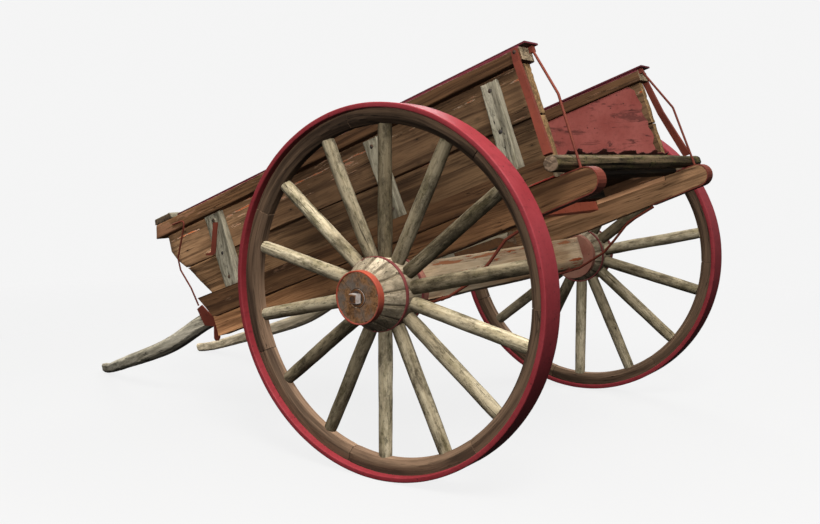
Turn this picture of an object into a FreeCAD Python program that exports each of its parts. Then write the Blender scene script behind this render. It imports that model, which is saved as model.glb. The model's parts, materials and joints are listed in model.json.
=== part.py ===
import FreeCAD, Part
import math
import os
import re
import Sketcher

# Two-wheeled tipping dray, standing on its wheels and on the tips of its lowered shafts.
# Millimetres. Row frame: +X points to the tail, -Y is the left side, +Z is up and Z = 0 is the ground.
# The tray, the shafts and all that is bolted to them are drawn in the tray frame: its origin is the
# middle of the axle, x runs along the floor to the tail and z stands square to the floor. The tray
# frame is pitched tail-up by tray_pitch. Wheels are drawn level, about the same axle middle.

SIZES = [
    # name, value, what it is
    ("wheel_radius", 700, "outside radius of the iron tyre"),
    ("wheel_middle", 877, "axle middle to the wheel's middle plane"),
    ("tyre_width", 108, "width of the tyre"),
    ("tyre_thickness", 20, "radial thickness of the tyre"),
    ("felloe_depth", 56, "radial depth of the wooden rim"),
    ("felloe_outer_face", 24, "wheel's middle plane to the rim's outer face"),
    ("felloe_inner_face", 41, "wheel's middle plane to the rim's inner face"),
    ("felloe_chamfer", 16, "width of the chamfers along the rim's inner edges"),
    ("felloe_chamfer_depth", 21, "radial depth of those chamfers"),
    ("spoke_inset", 15, "the spokes' plane from the wheel's middle plane, towards the tray"),
    ("spoke_count", 14, "spokes in a wheel"),
    ("felloe_count", 7, "rim segments in a wheel"),
    ("felloe_gap", 2, "open joint between two felloes"),
    ("spoke_foot_radius", 28.5, "spoke radius at the nave"),
    ("spoke_tip_radius", 26.5, "spoke radius at the rim"),
    ("nave_seat_radius", 136, "nave radius where the spokes enter"),
    ("nave_nose_radius", 93, "nave radius at the nose"),
    ("nave_back_radius", 108, "nave radius at the back"),
    ("nave_back", 743, "axle middle to the nave's back face"),
    ("nave_nose", 1030, "axle middle to the nave's nose face"),
    ("nave_bore", 36, "radius of the hole for the axle box"),
    ("band_thickness", 6, "thickness of the nave's iron bands"),
    ("axle_radius", 26, "radius of the round iron axle"),
    ("running_gap", 0.05, "radial clearance of a turning fit"),
    ("axle_end", 1033, "axle middle to the shoulder under the nut"),
    ("nut_size", 34, "square axle nut across the flats"),
    ("nut_height", 27, "height of the axle nut"),
    ("stub_radius", 11, "radius of the threaded axle end"),
    ("tray_pitch", 20, "tail-up pitch of the tray when the shaft tips are down, degrees"),
    ("origin_x", 800, "row origin to the axle, along X"),
    ("bed_half_width", 66, "half width of the axle bed along x"),
    ("bed_bottom", -66, "underside of the axle bed"),
    ("bed_chamfer", 34, "chamfer along the bed's lower edges"),
    ("bed_end", 724, "half length of the axle bed"),
    ("sill_front", -1180, "front end of the sills"),
    ("sill_rear", 836, "rear end of the sills"),
    ("sill_bottom", 84, "underside of the sills"),
    ("tail_bottom", 114, "underside of the sills at the tail, where they are thinner"),
    ("tail_taper", 200, "where the sills start to thin towards the tail"),
    ("sill_top", 206, "top of the sills"),
    ("sill_inner", 556, "inner face of a sill"),
    ("sill_outer", 626, "outer face of a sill"),
    ("shoe_thickness", 4, "iron shoe round a sill's rear end"),
    ("bearer_height", 42, "height of the cross bearers under the floor"),
    ("bearer_width", 60, "width of the cross bearers"),
    ("bearer_count", 6, "cross bearers"),
    ("floor_thickness", 30, "thickness of the floor boards"),
    ("floor_board_count", 7, "floor boards"),
    ("floor_rear", 703, "rear end of the floor boards"),
    ("sheet_thickness", 3, "iron lining sheet"),
    ("rail_outer", 665, "outer face of the lower side rails"),
    ("rail_top", 280, "top of the lower side rails"),
    ("rail_lip_front", 172, "underside of the lower rails at the front, where they cover the sills"),
    ("side_inner", 530, "inner face of the side boards"),
    ("side_outer", 575, "outer face of the side boards"),
    ("side_rear", 680, "rear end of the side boards"),
    ("side_joint", 452, "height of the joint between the side boards"),
    ("side_gap", 3, "open joint between two boards"),
    ("top_rail_bottom_front", 634, "underside of the top rails at the front"),
    ("top_rail_bottom_rear", 650, "underside of the top rails at the rear"),
    ("top_rail_top_front", 697, "top of the top rails at the front"),
    ("top_rail_top_rear", 706, "top of the top rails at the rear"),
    ("top_rail_front", -1440, "front end of the top rails"),
    ("top_rail_rear", 693, "rear end of the top rails"),
    ("top_rail_inner", 512, "inner face of the top rails"),
    ("top_rail_outer", 612, "outer face of the top rails"),
    ("strip_front", -1254, "front end of the iron strips on the top rails"),
    ("strip_rear", 720, "rear end of the iron strips on the top rails"),
    ("strip_thickness", 7, "thickness of the iron strips"),
    ("stake_foot_outer", 630, "outer face of the side stakes at the foot"),
    ("stake_head_outer", 599, "outer face of the side stakes at the head"),
    ("stake_top", 634, "top of the side stakes"),
    ("tail_bar_size", 60, "octagonal tail bar across the flats"),
    ("tail_bar_x", 741, "middle of the tail bar"),
    ("tail_bar_half", 745, "half length of the tail bar"),
    ("rod_radius", 5, "radius of the stay rods"),
    ("under_rod_radius", 6, "radius of the stays under the axle bed"),
    ("shaft_depth", 76, "depth and width of a shaft at its root"),
    ("shaft_tip_depth", 50, "depth and width of a shaft at its tip"),
    ("shaft_middle", 508, "middle of a shaft's straight root, across"),
    ("shaft_rear", -175, "rear end of the shafts"),
    ("shaft_reach", 2428, "axle to the shaft tips, along the tray"),
    ("shaft_tip_middle", 352, "middle of a shaft's tip, across"),
    ("iron_thickness", 12, "thickness of the hinge irons"),
    ("iron_width", 44, "width of the hinge irons"),
    ("catch_length", 118, "length of a hanging catch"),
    ("catch_width", 36, "width of a hanging catch"),
    ("edge_wear", 3, "small chamfer on timber edges"),
    ("bolt_radius", 6, "shank radius of the coach bolts"),
    ("bolt_head", 8, "head radius of the coach bolts"),
]

doc = FreeCAD.newDocument("Dray")
sheet = doc.addObject("Spreadsheet::Sheet", "Dims")
for row, (name, value, note) in enumerate(SIZES, start=1):
    sheet.set("A%d" % row, name)
    sheet.set("B%d" % row, str(value))
    sheet.setAlias("B%d" % row, name)
    sheet.set("C%d" % row, note)
doc.recompute()

WORDS = sorted((name for name, _, _ in SIZES), key=len, reverse=True)
SIDES = {"left": -1, "right": 1}
TRAY = "tray"
WHEEL = "wheel"
subparts = []


class Sizes:
    """The sheet's numbers, read back for the pieces whose shape is worked out in this file."""


for alias in WORDS:
    setattr(Sizes, alias, float(sheet.get(alias)))
S = Sizes


def bound(text):
    """A sheet expression: every sheet name in the text gets the sheet's own name in front."""
    return re.sub(r"\b(%s)\b" % "|".join(WORDS), r"Dims.\1", text)


FRAMES = {
    TRAY: "placement(vector(origin_x; 0; wheel_radius); rotation(vector(0; 1; 0); -tray_pitch))",
    WHEEL: "placement(vector(origin_x; 0; wheel_radius); rotation(vector(0; 1; 0); 0))",
}


def place(item, frame):
    item.setExpression("Placement", bound(FRAMES[frame]))


def finish_piece(item, label, frame):
    item.Label = label
    place(item, frame)
    subparts.append(item)
    return item


def sketch_outline(body, plane, outline, depth=None):
    """A closed outline whose every corner is held by two sizes from the sheet."""
    sketch = body.newObject("Sketcher::SketchObject", "Outline")
    support = [item for item in body.Origin.OriginFeatures if item.Role == plane][0]
    sketch.AttachmentSupport = [(support, "")]
    sketch.MapMode = "FlatFace"
    if depth is not None:
        sketch.setExpression("AttachmentOffset.Base.z", bound(depth))
    count = len(outline)
    start = [FreeCAD.Vector(math.cos(2 * math.pi * k / count), math.sin(2 * math.pi * k / count), 0) * 100
             for k in range(count)]
    for k in range(count):
        sketch.addGeometry(Part.LineSegment(start[k], start[(k + 1) % count]), False)
    for k in range(count):
        sketch.addConstraint(Sketcher.Constraint("Coincident", k, 2, (k + 1) % count, 1))
    for k, corner in enumerate(outline):
        for kind, letter, size in (("DistanceX", "u", corner[0]), ("DistanceY", "v", corner[1])):
            value = start[k].x if letter == "u" else start[k].y
            index = sketch.addConstraint(Sketcher.Constraint(kind, -1, 1, k, 1, value))
            sketch.renameConstraint(index, "%s%d" % (letter, k))
            sketch.setExpression("Constraints.%s%d" % (letter, k), bound(str(size)))
    doc.recompute()
    return sketch


def timber(label, outline, low, high, wear="edge_wear", keep=True):
    """A tray piece: an x-z outline padded across the cart from y = low to y = high."""
    body = doc.addObject("PartDesign::Body", "Body")
    sketch = sketch_outline(body, "XZ_Plane", outline, depth="-(%s)" % high)
    pad = body.newObject("PartDesign::Pad", "Pad")
    pad.Profile = sketch
    pad.setExpression("Length", bound("(%s) - (%s)" % (high, low)))
    sketch.Visibility = False
    if wear:
        doc.recompute()
        chamfer = body.newObject("PartDesign::Chamfer", "WornEdges")
        chamfer.Base = (pad, ["Face1"])
        chamfer.UseAllEdges = True
        chamfer.setExpression("Size", bound(wear))
    if keep:
        return finish_piece(body, label, TRAY)
    place(body, TRAY)
    return body


def paired_timber(name, outline, near, far, **extra):
    """The same timber on both sides; near and far are distances from the cart's middle plane."""
    for side in SIDES:
        low, high = (near, far) if side == "right" else ("-(%s)" % far, "-(%s)" % near)
        timber("%s_%s" % (name, side), outline, low, high, **extra)


def turned(label, outline, side, keep=True):
    """A wheel piece: an outline of (distance along the axle, radius) turned about the axle."""
    body = doc.addObject("PartDesign::Body", "Body")
    corners = [("%d * (%s)" % (SIDES[side], along), radius) for along, radius in outline]
    sketch = sketch_outline(body, "YZ_Plane", corners)
    turn = body.newObject("PartDesign::Revolution", "Turn")
    turn.Profile = sketch
    turn.ReferenceAxis = (sketch, ["H_Axis"])
    turn.Angle = 360
    sketch.Visibility = False
    if keep:
        return finish_piece(body, label, WHEEL)
    place(body, WHEEL)
    return body


def shaped(label, shape, frame, keep=True):
    """A piece whose shape is worked out here from the sheet's sizes."""
    item = doc.addObject("Part::Feature", "Shaped")
    item.Shape = shape
    if keep:
        return finish_piece(item, label, frame)
    place(item, frame)
    return item


def carved(label, base, tool):
    """A piece with another piece's room cut out of it. Both already stand in the row frame."""
    cut = doc.addObject("Part::Cut", "Carved")
    cut.Base = base
    cut.Tool = tool
    cut.Label = label
    subparts.append(cut)
    return cut


def vec(x, y, z):
    return FreeCAD.Vector(x, y, z)


def box(x0, x1, y0, y1, z0, z1):
    return Part.makeBox(x1 - x0, y1 - y0, z1 - z0, vec(x0, y0, z0))


def prism(outline, y0, y1):
    """An x-z outline carried from y0 to y1."""
    corners = [vec(x, y0, z) for x, z in outline]
    return Part.Face(Part.makePolygon(corners + corners[:1])).extrude(vec(0, y1 - y0, 0))


def cross_cylinder(x, z, radius, y0, y1):
    return Part.makeCylinder(radius, abs(y1 - y0), vec(x, min(y0, y1), z), vec(0, 1, 0))


def bent_rod(points, radius, bend):
    """A round rod through the points, with every corner bent round."""
    edges = []
    start = points[0]
    for before, corner, after in zip(points, points[1:], points[2:]):
        into = (corner - before).normalize()
        out = (after - corner).normalize()
        turn = into.getAngle(out)
        setback = bend * math.tan(turn / 2)
        arc_start = corner - into * setback
        arc_end = corner + out * setback
        middle = corner + (out - into).normalize() * bend * (1 / math.cos(turn / 2) - 1)
        edges.append(Part.makeLine(start, arc_start))
        edges.append(Part.Arc(arc_start, middle, arc_end).toShape())
        start = arc_end
    edges.append(Part.makeLine(start, points[-1]))
    path = Part.Wire(edges)
    ring = Part.Wire(Part.makeCircle(radius, points[0], points[1] - points[0]))
    return path.makePipeShell([ring], True, True)


def mirrored(shape):
    return shape.mirror(vec(0, 0, 0), vec(0, 1, 0))


def both_sides(name, shape, frame=TRAY):
    """A right-hand piece and its mirrored left-hand twin, as two sub-parts."""
    shaped(name + "_right", shape, frame)
    shaped(name + "_left", mirrored(shape), frame)


def with_mirror(shapes):
    return Part.makeCompound(shapes + [mirrored(shape) for shape in shapes])


# ---------------------------------------------------------------- wheels

def spoke(angle):
    """One turned spoke standing on the axle line: foot in the nave, blade, tongue in the felloe."""
    foot_start, shoulder = 84, S.nave_seat_radius - 4
    rim = S.wheel_radius - S.tyre_thickness - S.felloe_depth
    tongue_end = rim + S.felloe_depth * 0.75
    foot_radius, tongue_radius = 17, 12
    outline = [(0, foot_start), (foot_radius, foot_start), (foot_radius, shoulder),
               (S.spoke_foot_radius, shoulder), (S.spoke_tip_radius, rim + 2),
               (tongue_radius, rim + 2), (tongue_radius, tongue_end), (0, tongue_end)]
    corners = [vec(radius, 0, height) for radius, height in outline]
    blade = Part.Face(Part.makePolygon(corners + corners[:1])).revolve(vec(0, 0, 0), vec(0, 0, 1), 360)
    blade.rotate(vec(0, 0, 0), vec(0, 1, 0), angle)
    return blade


def felloe(middle_angle, sign):
    """One rim segment, chamfered along its inner edges, centred on an angle from straight up.
    It is narrower than the tyre, which stands proud on both sides."""
    outer = S.wheel_radius - S.tyre_thickness
    inner = outer - S.felloe_depth
    near, far = -S.felloe_inner_face, S.felloe_outer_face
    shoulder, ease = inner + S.felloe_chamfer_depth, S.felloe_chamfer
    outline = [(near, outer), (far, outer), (far, shoulder), (far - ease, inner),
               (near + ease, inner), (near, shoulder)]
    sweep = 360 / S.felloe_count - math.degrees(S.felloe_gap / outer)
    corners = [vec(0, sign * across, radius) for across, radius in outline]
    block = Part.Face(Part.makePolygon(corners + corners[:1])).revolve(vec(0, 0, 0), vec(0, 1, 0), sweep)
    block.rotate(vec(0, 0, 0), vec(0, 1, 0), middle_angle - sweep / 2)
    return block


def build_wheel(side):
    sign = SIDES[side]
    step = 360 / S.spoke_count
    spokes = [spoke(k * step) for k in range(int(S.spoke_count))]
    felloe_step = 360 / S.felloe_count
    felloes = [felloe(k * felloe_step + step / 2, sign) for k in range(int(S.felloe_count))]
    for item in spokes:
        item.translate(vec(0, sign * (S.wheel_middle - S.spoke_inset), 0))
    for item in felloes:
        item.translate(vec(0, sign * S.wheel_middle, 0))
    spoke_set = Part.makeCompound(spokes)
    shaped("spokes_" + side, spoke_set, WHEEL)
    shaped("felloes_" + side, Part.makeCompound([item.cut(spoke_set) for item in felloes]), WHEEL)

    outside, inside = "wheel_middle + tyre_width / 2", "wheel_middle - tyre_width / 2"
    inner = "wheel_radius - tyre_thickness"
    turned("tyre_" + side, [
        (inside, inner), (outside, inner),
        (outside, "wheel_radius - 5"), (outside + " - 5", "wheel_radius"),
        (inside + " + 5", "wheel_radius"), (inside, "wheel_radius - 5")], side)

    # The nave is turned in one piece, then mortised for the spokes' feet.
    blank = turned("nave_blank_" + side, [
        ("nave_back", "nave_bore"), ("nave_back", "nave_back_radius"),
        ("nave_back + 28", "nave_back_radius"), ("nave_back + 46", "nave_back_radius + 14"),
        ("nave_back + 63", "nave_seat_radius - 3"), ("nave_back + 76", "nave_seat_radius - 3"),
        ("nave_back + 76", "nave_seat_radius"), ("nave_nose - 109", "nave_seat_radius"),
        ("nave_nose - 106", "nave_seat_radius + 3"), ("nave_nose - 32", "nave_nose_radius + 4"),
        ("nave_nose - 30", "nave_nose_radius"), ("nave_nose", "nave_nose_radius"),
        ("nave_nose", "nave_bore")], side, keep=False)
    carved("nave_" + side, blank, shaped("spoke_room_" + side, spoke_set, WHEEL, keep=False))

    # Iron: back cap, rear band, front band and nose band.
    back_y, seat_y, cone_y, nose_y = S.nave_back, S.nave_back + 63, S.nave_nose - 124, S.nave_nose - 30
    thick = S.band_thickness

    def hoop(start, length, inner_radius, outer_radius):
        ring = Part.makeCylinder(outer_radius, length, vec(0, start, 0), vec(0, 1, 0))
        return ring.cut(Part.makeCylinder(inner_radius, length, vec(0, start, 0), vec(0, 1, 0)))

    cap = hoop(back_y - thick, thick + 28, S.nave_back_radius, S.nave_back_radius + thick)
    cap_disc = hoop(back_y - thick, thick, S.nave_bore, S.nave_back_radius)
    bands = [cap.fuse(cap_disc).removeSplitter(),
             hoop(seat_y, 13, S.nave_seat_radius - 3, S.nave_seat_radius + 3),
             hoop(cone_y, 15, S.nave_seat_radius, S.nave_seat_radius + 5),
             hoop(nose_y, 32, S.nave_nose_radius, S.nave_nose_radius + thick)]
    band_set = Part.makeCompound(bands)
    if sign < 0:
        band_set = mirrored(band_set)
    shaped("nave_bands_" + side, band_set, WHEEL)

    turned("axle_box_" + side, [
        ("nave_back", "axle_radius + running_gap"), ("nave_back", "nave_bore"),
        ("nave_nose - 2", "nave_bore"), ("nave_nose - 2", "axle_radius + running_gap")], side)


for wheel_side in SIDES:
    build_wheel(wheel_side)


# ---------------------------------------------------------------- axle

def build_axle():
    """Round iron axle with a shoulder collar at each end of its bed and a threaded stub beyond."""
    bar = cross_cylinder(0, 0, S.axle_radius, -S.axle_end, S.axle_end)
    stub_end = S.axle_end + S.nut_height
    bar = bar.fuse(cross_cylinder(0, 0, S.stub_radius, -stub_end, stub_end))
    for sign in SIDES.values():
        bar = bar.fuse(cross_cylinder(0, 0, 46, sign * (S.bed_end + 1), sign * (S.nave_back - 8)))
    shaped("axle", bar.removeSplitter(), TRAY)


def build_axle_nuts():
    """Square nut and round washer at each axle end."""
    half = S.nut_size / 2
    low, high = S.axle_end + 0.5, S.axle_end + S.nut_height
    nut = box(-half, half, low, high, -half, half)
    nut = nut.makeChamfer(2.5, [edge for edge in nut.Edges if edge.BoundBox.YMin > high - 1])
    nut.rotate(vec(0, 0, 0), vec(0, 1, 0), S.tray_pitch)
    nut = nut.cut(cross_cylinder(0, 0, S.stub_radius, low - 1, high + 1))
    washer_low, washer_high = S.nave_nose + 0.5, S.axle_end
    washer = cross_cylinder(0, 0, 33, washer_low, washer_high)
    washer = washer.cut(cross_cylinder(0, 0, S.axle_radius, washer_low - 1, washer_high + 1))
    shaped("axle_nuts", with_mirror([nut, washer]), TRAY)


BED_BOLTS = (-42, 42)
BED_BOLT_INSET = 16


def bed_bolt(x):
    """Bolt down through a sill and the axle bed: countersunk head on top, nut underneath."""
    y, radius, head = S.sill_inner + BED_BOLT_INSET, 6, 13
    top, sunk = S.sill_top - 1, 8
    bolt = Part.makeCylinder(radius, top - S.bed_bottom + 14, vec(x, y, S.bed_bottom - 14))
    return bolt.fuse(Part.makeCone(radius, head, sunk, vec(x, y, top - sunk))).removeSplitter()


def build_axle_bed():
    """Wooden bed under the sills. The axle lies in it; two slots let the hinge irons swing."""
    blank = timber("axle_bed_blank", [
        ("-bed_half_width", "sill_bottom"), ("-bed_half_width", "bed_bottom + bed_chamfer"),
        ("bed_chamfer * 0.6 - bed_half_width", "bed_bottom"),
        ("bed_half_width - bed_chamfer * 0.6", "bed_bottom"),
        ("bed_half_width", "bed_bottom + bed_chamfer"), ("bed_half_width", "sill_bottom")],
        "-bed_end", "bed_end", keep=False)
    room = cross_cylinder(0, 0, S.axle_radius, -S.bed_end - 10, S.bed_end + 10)
    iron_outer = S.shaft_middle - S.shaft_depth / 2
    low, high = iron_outer - S.iron_thickness - 1.5, iron_outer + 1.5
    slot = box(-S.bed_half_width - 10, 0, low, high, S.bed_bottom - 10, S.sill_bottom + 10)
    slot = slot.fuse(cross_cylinder(0, 0, S.iron_width / 2 + 26, low, high))
    room = room.fuse(slot).fuse(mirrored(slot))
    for x in BED_BOLTS:
        room = room.fuse(bed_bolt(x)).fuse(mirrored(bed_bolt(x)))
    carved("axle_bed", blank, shaped("axle_bed_room", room, TRAY, keep=False))


def build_bed_bolts():
    """Two bolts and two nuts hold each sill down on the axle bed."""
    y, half = S.sill_inner + BED_BOLT_INSET, 10
    pieces = []
    for x in BED_BOLTS:
        nut = box(x - half, x + half, y - half, y + half, S.bed_bottom - 12, S.bed_bottom)
        pieces.append(bed_bolt(x).fuse(nut).removeSplitter())
    shaped("bed_bolts", with_mirror(pieces), TRAY)


build_axle()
build_axle_nuts()
build_axle_bed()
build_bed_bolts()


# ---------------------------------------------------------------- tray: sills and floor

def build_sills():
    """Two long sills. They thin towards the tail, whose end is rounded to take the ground when tipped."""
    middle = "(sill_top + tail_bottom) / 2"
    half = "(sill_top - tail_bottom) / 2"
    outline = [("tail_taper", "sill_bottom"), ("sill_front", "sill_bottom"), ("sill_front", "sill_top")]
    steps = 12
    for k in range(steps + 1):
        angle = 90 - 180 * k / steps
        outline.append(("sill_rear - %s + %s * cos(%g)" % (half, half, angle),
                        "%s + %s * sin(%g)" % (middle, half, angle)))
    bolts = [bed_bolt(x) for x in BED_BOLTS]
    for side, sign in SIDES.items():
        low, high = ("sill_inner", "sill_outer") if sign > 0 else ("-sill_outer", "-sill_inner")
        blank = timber("sill_blank_" + side, outline, low, high, wear=None, keep=False)
        room = Part.makeCompound(bolts if sign > 0 else [mirrored(bolt) for bolt in bolts])
        carved("sill_" + side, blank, shaped("sill_room_" + side, room, TRAY, keep=False))


def build_sill_shoes():
    """Iron shoe bent round each sill's tail: a short leg on top, a long one underneath."""
    radius = (S.sill_top - S.tail_bottom) / 2
    centre_x, centre_z = S.sill_rear - radius, S.tail_bottom + radius
    slope = (S.tail_bottom - S.sill_bottom) / (centre_x - S.tail_taper)
    top_leg, bottom_leg, steps = 84, 245, 12

    def outline(grow):
        points = [(centre_x - top_leg, S.sill_top + grow)]
        for k in range(steps + 1):
            turn = math.pi * k / steps
            points.append((centre_x + (radius + grow) * math.sin(turn),
                           centre_z + (radius + grow) * math.cos(turn)))
        points.append((centre_x - bottom_leg, S.tail_bottom - bottom_leg * slope - grow))
        return points

    bent = outline(S.shoe_thickness) + outline(0)[::-1]
    shaped("sill_shoes", with_mirror([prism(bent, S.sill_inner, S.sill_outer)]), TRAY)


def build_floor():
    """Cross bearers on the sills, boards along the tray, and an iron lining with a torn rear edge."""
    count, width = int(S.bearer_count), S.bearer_width
    top = S.sill_top + S.bearer_height
    first, last = S.sill_front, S.floor_rear - width
    pitch = (last - first) / (count - 1)
    reach = S.side_outer - 1
    bearers = [box(first + k * pitch, first + k * pitch + width, -reach, reach, S.sill_top, top)
               for k in range(count)]
    shaped("floor_bearers", Part.makeCompound(bearers), TRAY)

    count, gap = int(S.floor_board_count), 4
    span = 2 * (S.side_inner - 1)
    pitch = (span + gap) / count
    boards = [box(S.sill_front, S.floor_rear, -span / 2 + k * pitch, -span / 2 + (k + 1) * pitch - gap,
                  top, top + S.floor_thickness) for k in range(count)]
    shaped("floor_boards", Part.makeCompound(boards), TRAY)

    floor = top + S.floor_thickness
    half, steps = S.side_inner - 12, 24
    edge = []
    for k in range(steps + 1):
        across = -half + 2 * half * k / steps
        ragged = 7 * math.sin(across / 41) + 5 * math.sin(across / 17 + 1)
        edge.append(vec(S.floor_rear + 14 + ragged, across, floor))
    front = S.sill_front + 24
    corners = [vec(front, -half, floor)] + edge + [vec(front, half, floor)]
    sheet_face = Part.Face(Part.makePolygon(corners + corners[:1]))
    shaped("floor_lining", sheet_face.extrude(vec(0, 0, S.sheet_thickness)), TRAY)


def build_ledgers():
    """Strips along the inner faces of the sills, behind the shafts, under the bearers' ends."""
    y0, y1 = S.sill_inner - 9, S.sill_inner
    runs = ((-150, 246), (298, 650))
    strips = [box(x0, x1, y0, y1, S.sill_top - 21, S.sill_top - 0.5) for x0, x1 in runs]
    shaped("sill_ledgers", with_mirror(strips), TRAY)


build_sills()
build_sill_shoes()
build_floor()
build_ledgers()
timber("cross_tie", [(250, 160), (294, 160), (294, "sill_top - 1"), (250, "sill_top - 1")],
       "-sill_inner", "sill_inner")


def octagon(centre_x, centre_z, size):
    """Corners of an octagon given by its size across the flats, flats level."""
    near, far = "(%s) * 0.2071" % size, "(%s) * 0.5" % size
    corners = [(near, far), (far, near), (far, "-" + near), (near, "-" + far),
               ("-" + near, "-" + far), ("-" + far, "-" + near), ("-" + far, near), ("-" + near, far)]
    return [("%s + (%s)" % (centre_x, u), "%s + (%s)" % (centre_z, v)) for u, v in corners]


TAIL_BAR_Z = "(sill_top + shoe_thickness + 0.5 + tail_bar_size / 2)"
timber("tail_bar", octagon("tail_bar_x", TAIL_BAR_Z, "tail_bar_size"),
       "-tail_bar_half", "tail_bar_half")


# ---------------------------------------------------------------- tray: sides and front

def build_lower_rails():
    """A rail along the top of each sill, with a lip outside that hangs down over the sill."""
    outline = [("sill_front + 40", "rail_lip_front"), ("sill_front - 28", "rail_top"),
               ("floor_rear", "rail_top"), ("floor_rear", "sill_top")]
    seat = box(S.sill_front - 100, S.sill_rear, S.sill_inner, S.sill_outer + 0.5, S.sill_bottom, S.sill_top)
    for side, sign in SIDES.items():
        low, high = ("side_outer", "rail_outer") if sign > 0 else ("-rail_outer", "-side_outer")
        blank = timber("lower_rail_blank_" + side, outline, low, high, wear=None, keep=False)
        room = shaped("lower_rail_seat_" + side, seat if sign > 0 else mirrored(seat), TRAY, keep=False)
        carved("lower_rail_" + side, blank, room)


build_lower_rails()

# The front edge of each side leans forward as it rises: (x, height) from the floor to the top.
LOWER_FRONT = [(-1195, "sill_top + bearer_height + 1"), (-1200, 290), (-1260, 367), (-1307, 434),
               (-1321, "side_joint - side_gap / 2")]
UPPER_FRONT = [(-1326, "side_joint + side_gap / 2"), (-1372, 504), (-1400, 556),
               (-1393, "top_rail_bottom_front - 1")]
paired_timber("lower_board", LOWER_FRONT + [
    ("side_rear", "side_joint - side_gap / 2"), ("side_rear", "sill_top + bearer_height + 1")],
    "side_inner", "side_outer", wear="1.5")
paired_timber("upper_board", UPPER_FRONT + [
    ("side_rear", "top_rail_bottom_rear - 1"), ("side_rear", "side_joint + side_gap / 2")],
    "side_inner", "side_outer", wear="1.5")
paired_timber("top_rail", [
    ("top_rail_front", "top_rail_bottom_front"), ("top_rail_front + 24", "top_rail_top_front"),
    ("top_rail_rear", "top_rail_top_rear"), ("top_rail_rear", "top_rail_bottom_rear")],
    "top_rail_inner", "top_rail_outer")
paired_timber("cap_strip", [
    ("strip_front", "top_rail_top_front + 1"), ("strip_front", "top_rail_top_front + 1 + strip_thickness"),
    ("strip_rear", "top_rail_top_rear + 0.2 + strip_thickness"), ("strip_rear", "top_rail_top_rear + 0.2")],
    "top_rail_inner - 8", "top_rail_outer - 5", wear=None)
timber("front_cross_bar", [
    (-1424, "top_rail_top_front + 1"), (-1416, "top_rail_top_front + 30"),
    (-1300, "top_rail_top_front + 30"), (-1290, "top_rail_top_front + 1")],
    "-top_rail_outer", "top_rail_outer")

# Stakes, front to rear: x of the foot's front and rear edges, then of the head's.
STAKES = ((-1051, -963, -1098, -988), (-51, 0, -101, -25), (490, 560, 491, 561))


def stake_face(height):
    """How far out a stake's face is at a height: stakes are thinner at the head."""
    share = (height - S.rail_top) / (S.stake_top - S.rail_top)
    return S.stake_foot_outer + (S.stake_head_outer - S.stake_foot_outer) * share


def build_stakes():
    """Three stakes a side, standing on the lower rail, thinner at the head."""
    foot_out, head_out = S.stake_foot_outer, S.stake_head_outer
    wedge = Part.makePolygon([vec(-1200, S.side_outer, S.rail_top), vec(-1200, foot_out, S.rail_top),
                              vec(-1200, head_out, S.stake_top), vec(-1200, S.side_outer, S.stake_top),
                              vec(-1200, S.side_outer, S.rail_top)])
    wedge = Part.Face(wedge).extrude(vec(1900, 0, 0))
    for side, sign in SIDES.items():
        stakes = []
        for place in STAKES:
            foot_front, foot_rear, head_front, head_rear = place
            outline = [(foot_front, S.rail_top), (foot_rear, S.rail_top),
                       (head_rear, S.stake_top), (head_front, S.stake_top)]
            stake = prism(outline, S.side_outer, foot_out + 10).common(wedge)
            outer = [edge for edge in stake.Edges if edge.CenterOfMass.y > head_out - 1]
            stake = stake.makeChamfer(S.edge_wear, outer)
            for bolt in stake_bolts(place):
                stake = stake.cut(bolt)
            stakes.append(stake if sign > 0 else mirrored(stake))
        shaped("stakes_" + side, Part.makeCompound(stakes), TRAY)


def coach_bolt(x, z, face, length):
    """A domed head on a shank that runs back into the timber along y."""
    shank = cross_cylinder(x, z, S.bolt_radius, face - length, face)
    dome_height = 4
    dome_radius = (S.bolt_head ** 2 + dome_height ** 2) / (2 * dome_height)
    ball = Part.makeSphere(dome_radius, vec(x, face + dome_height - dome_radius, z))
    head = ball.common(box(x - 20, x + 20, face - 1, face + 20, z - 20, z + 20))
    return shank.fuse(head).removeSplitter()


def stake_bolts(place):
    """Coach bolts down one stake, their shanks short enough to stay in it."""
    bolts = []
    for height in (325, 440, 600):
        share = (height - S.rail_top) / (S.stake_top - S.rail_top)
        middle = ((place[0] + place[1]) * (1 - share) + (place[2] + place[3]) * share) / 2
        bolts.append(coach_bolt(middle, height, stake_face(height) - 0.5, 17))
    return bolts


def build_front_boards():
    """Three leaning boards close the front between the sides."""
    low, high, count, gap = 282, 632, 3, 4
    front_low, front_high, thick = -1190, -1366, 30
    lean = (front_high - front_low) / (high - low)
    step = (high - low + gap) / count
    boards = []
    for k in range(count):
        z0, z1 = low + k * step, low + (k + 1) * step - gap
        x0, x1 = front_low + lean * (z0 - low), front_low + lean * (z1 - low)
        boards.append(prism([(x0, z0), (x1, z1), (x1 + thick, z1), (x0 + thick, z0)],
                            9 - S.side_inner, S.side_inner - 9))
    shaped("front_boards", Part.makeCompound(boards), TRAY)


def build_side_linings():
    """Iron sheet inside each side board, torn along its rear edge."""
    low, high, steps = 284, 648, 14
    rear = []
    for k in range(steps + 1):
        height = low + (high - low) * k / steps
        retreat = 34 * (k / steps) ** 6
        torn = 6 * math.sin(height / 12) + 5 * math.sin(height / 29)
        rear.append((S.side_rear - 20 - retreat + torn, height))
    front = [(-1352, S.top_rail_bottom_front - 2), (-1192, low)]
    lining = prism(front + rear, S.side_inner - 5, S.side_inner - 5 + S.sheet_thickness)
    both_sides("side_lining", lining)


build_stakes()
build_front_boards()
build_side_linings()


# ---------------------------------------------------------------- tray: ironwork

RAIL_TOP = S.top_rail_top_rear
SHAFT_OUTER = S.shaft_middle + S.shaft_depth / 2
SHAFT_INNER = S.shaft_middle - S.shaft_depth / 2


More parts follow.
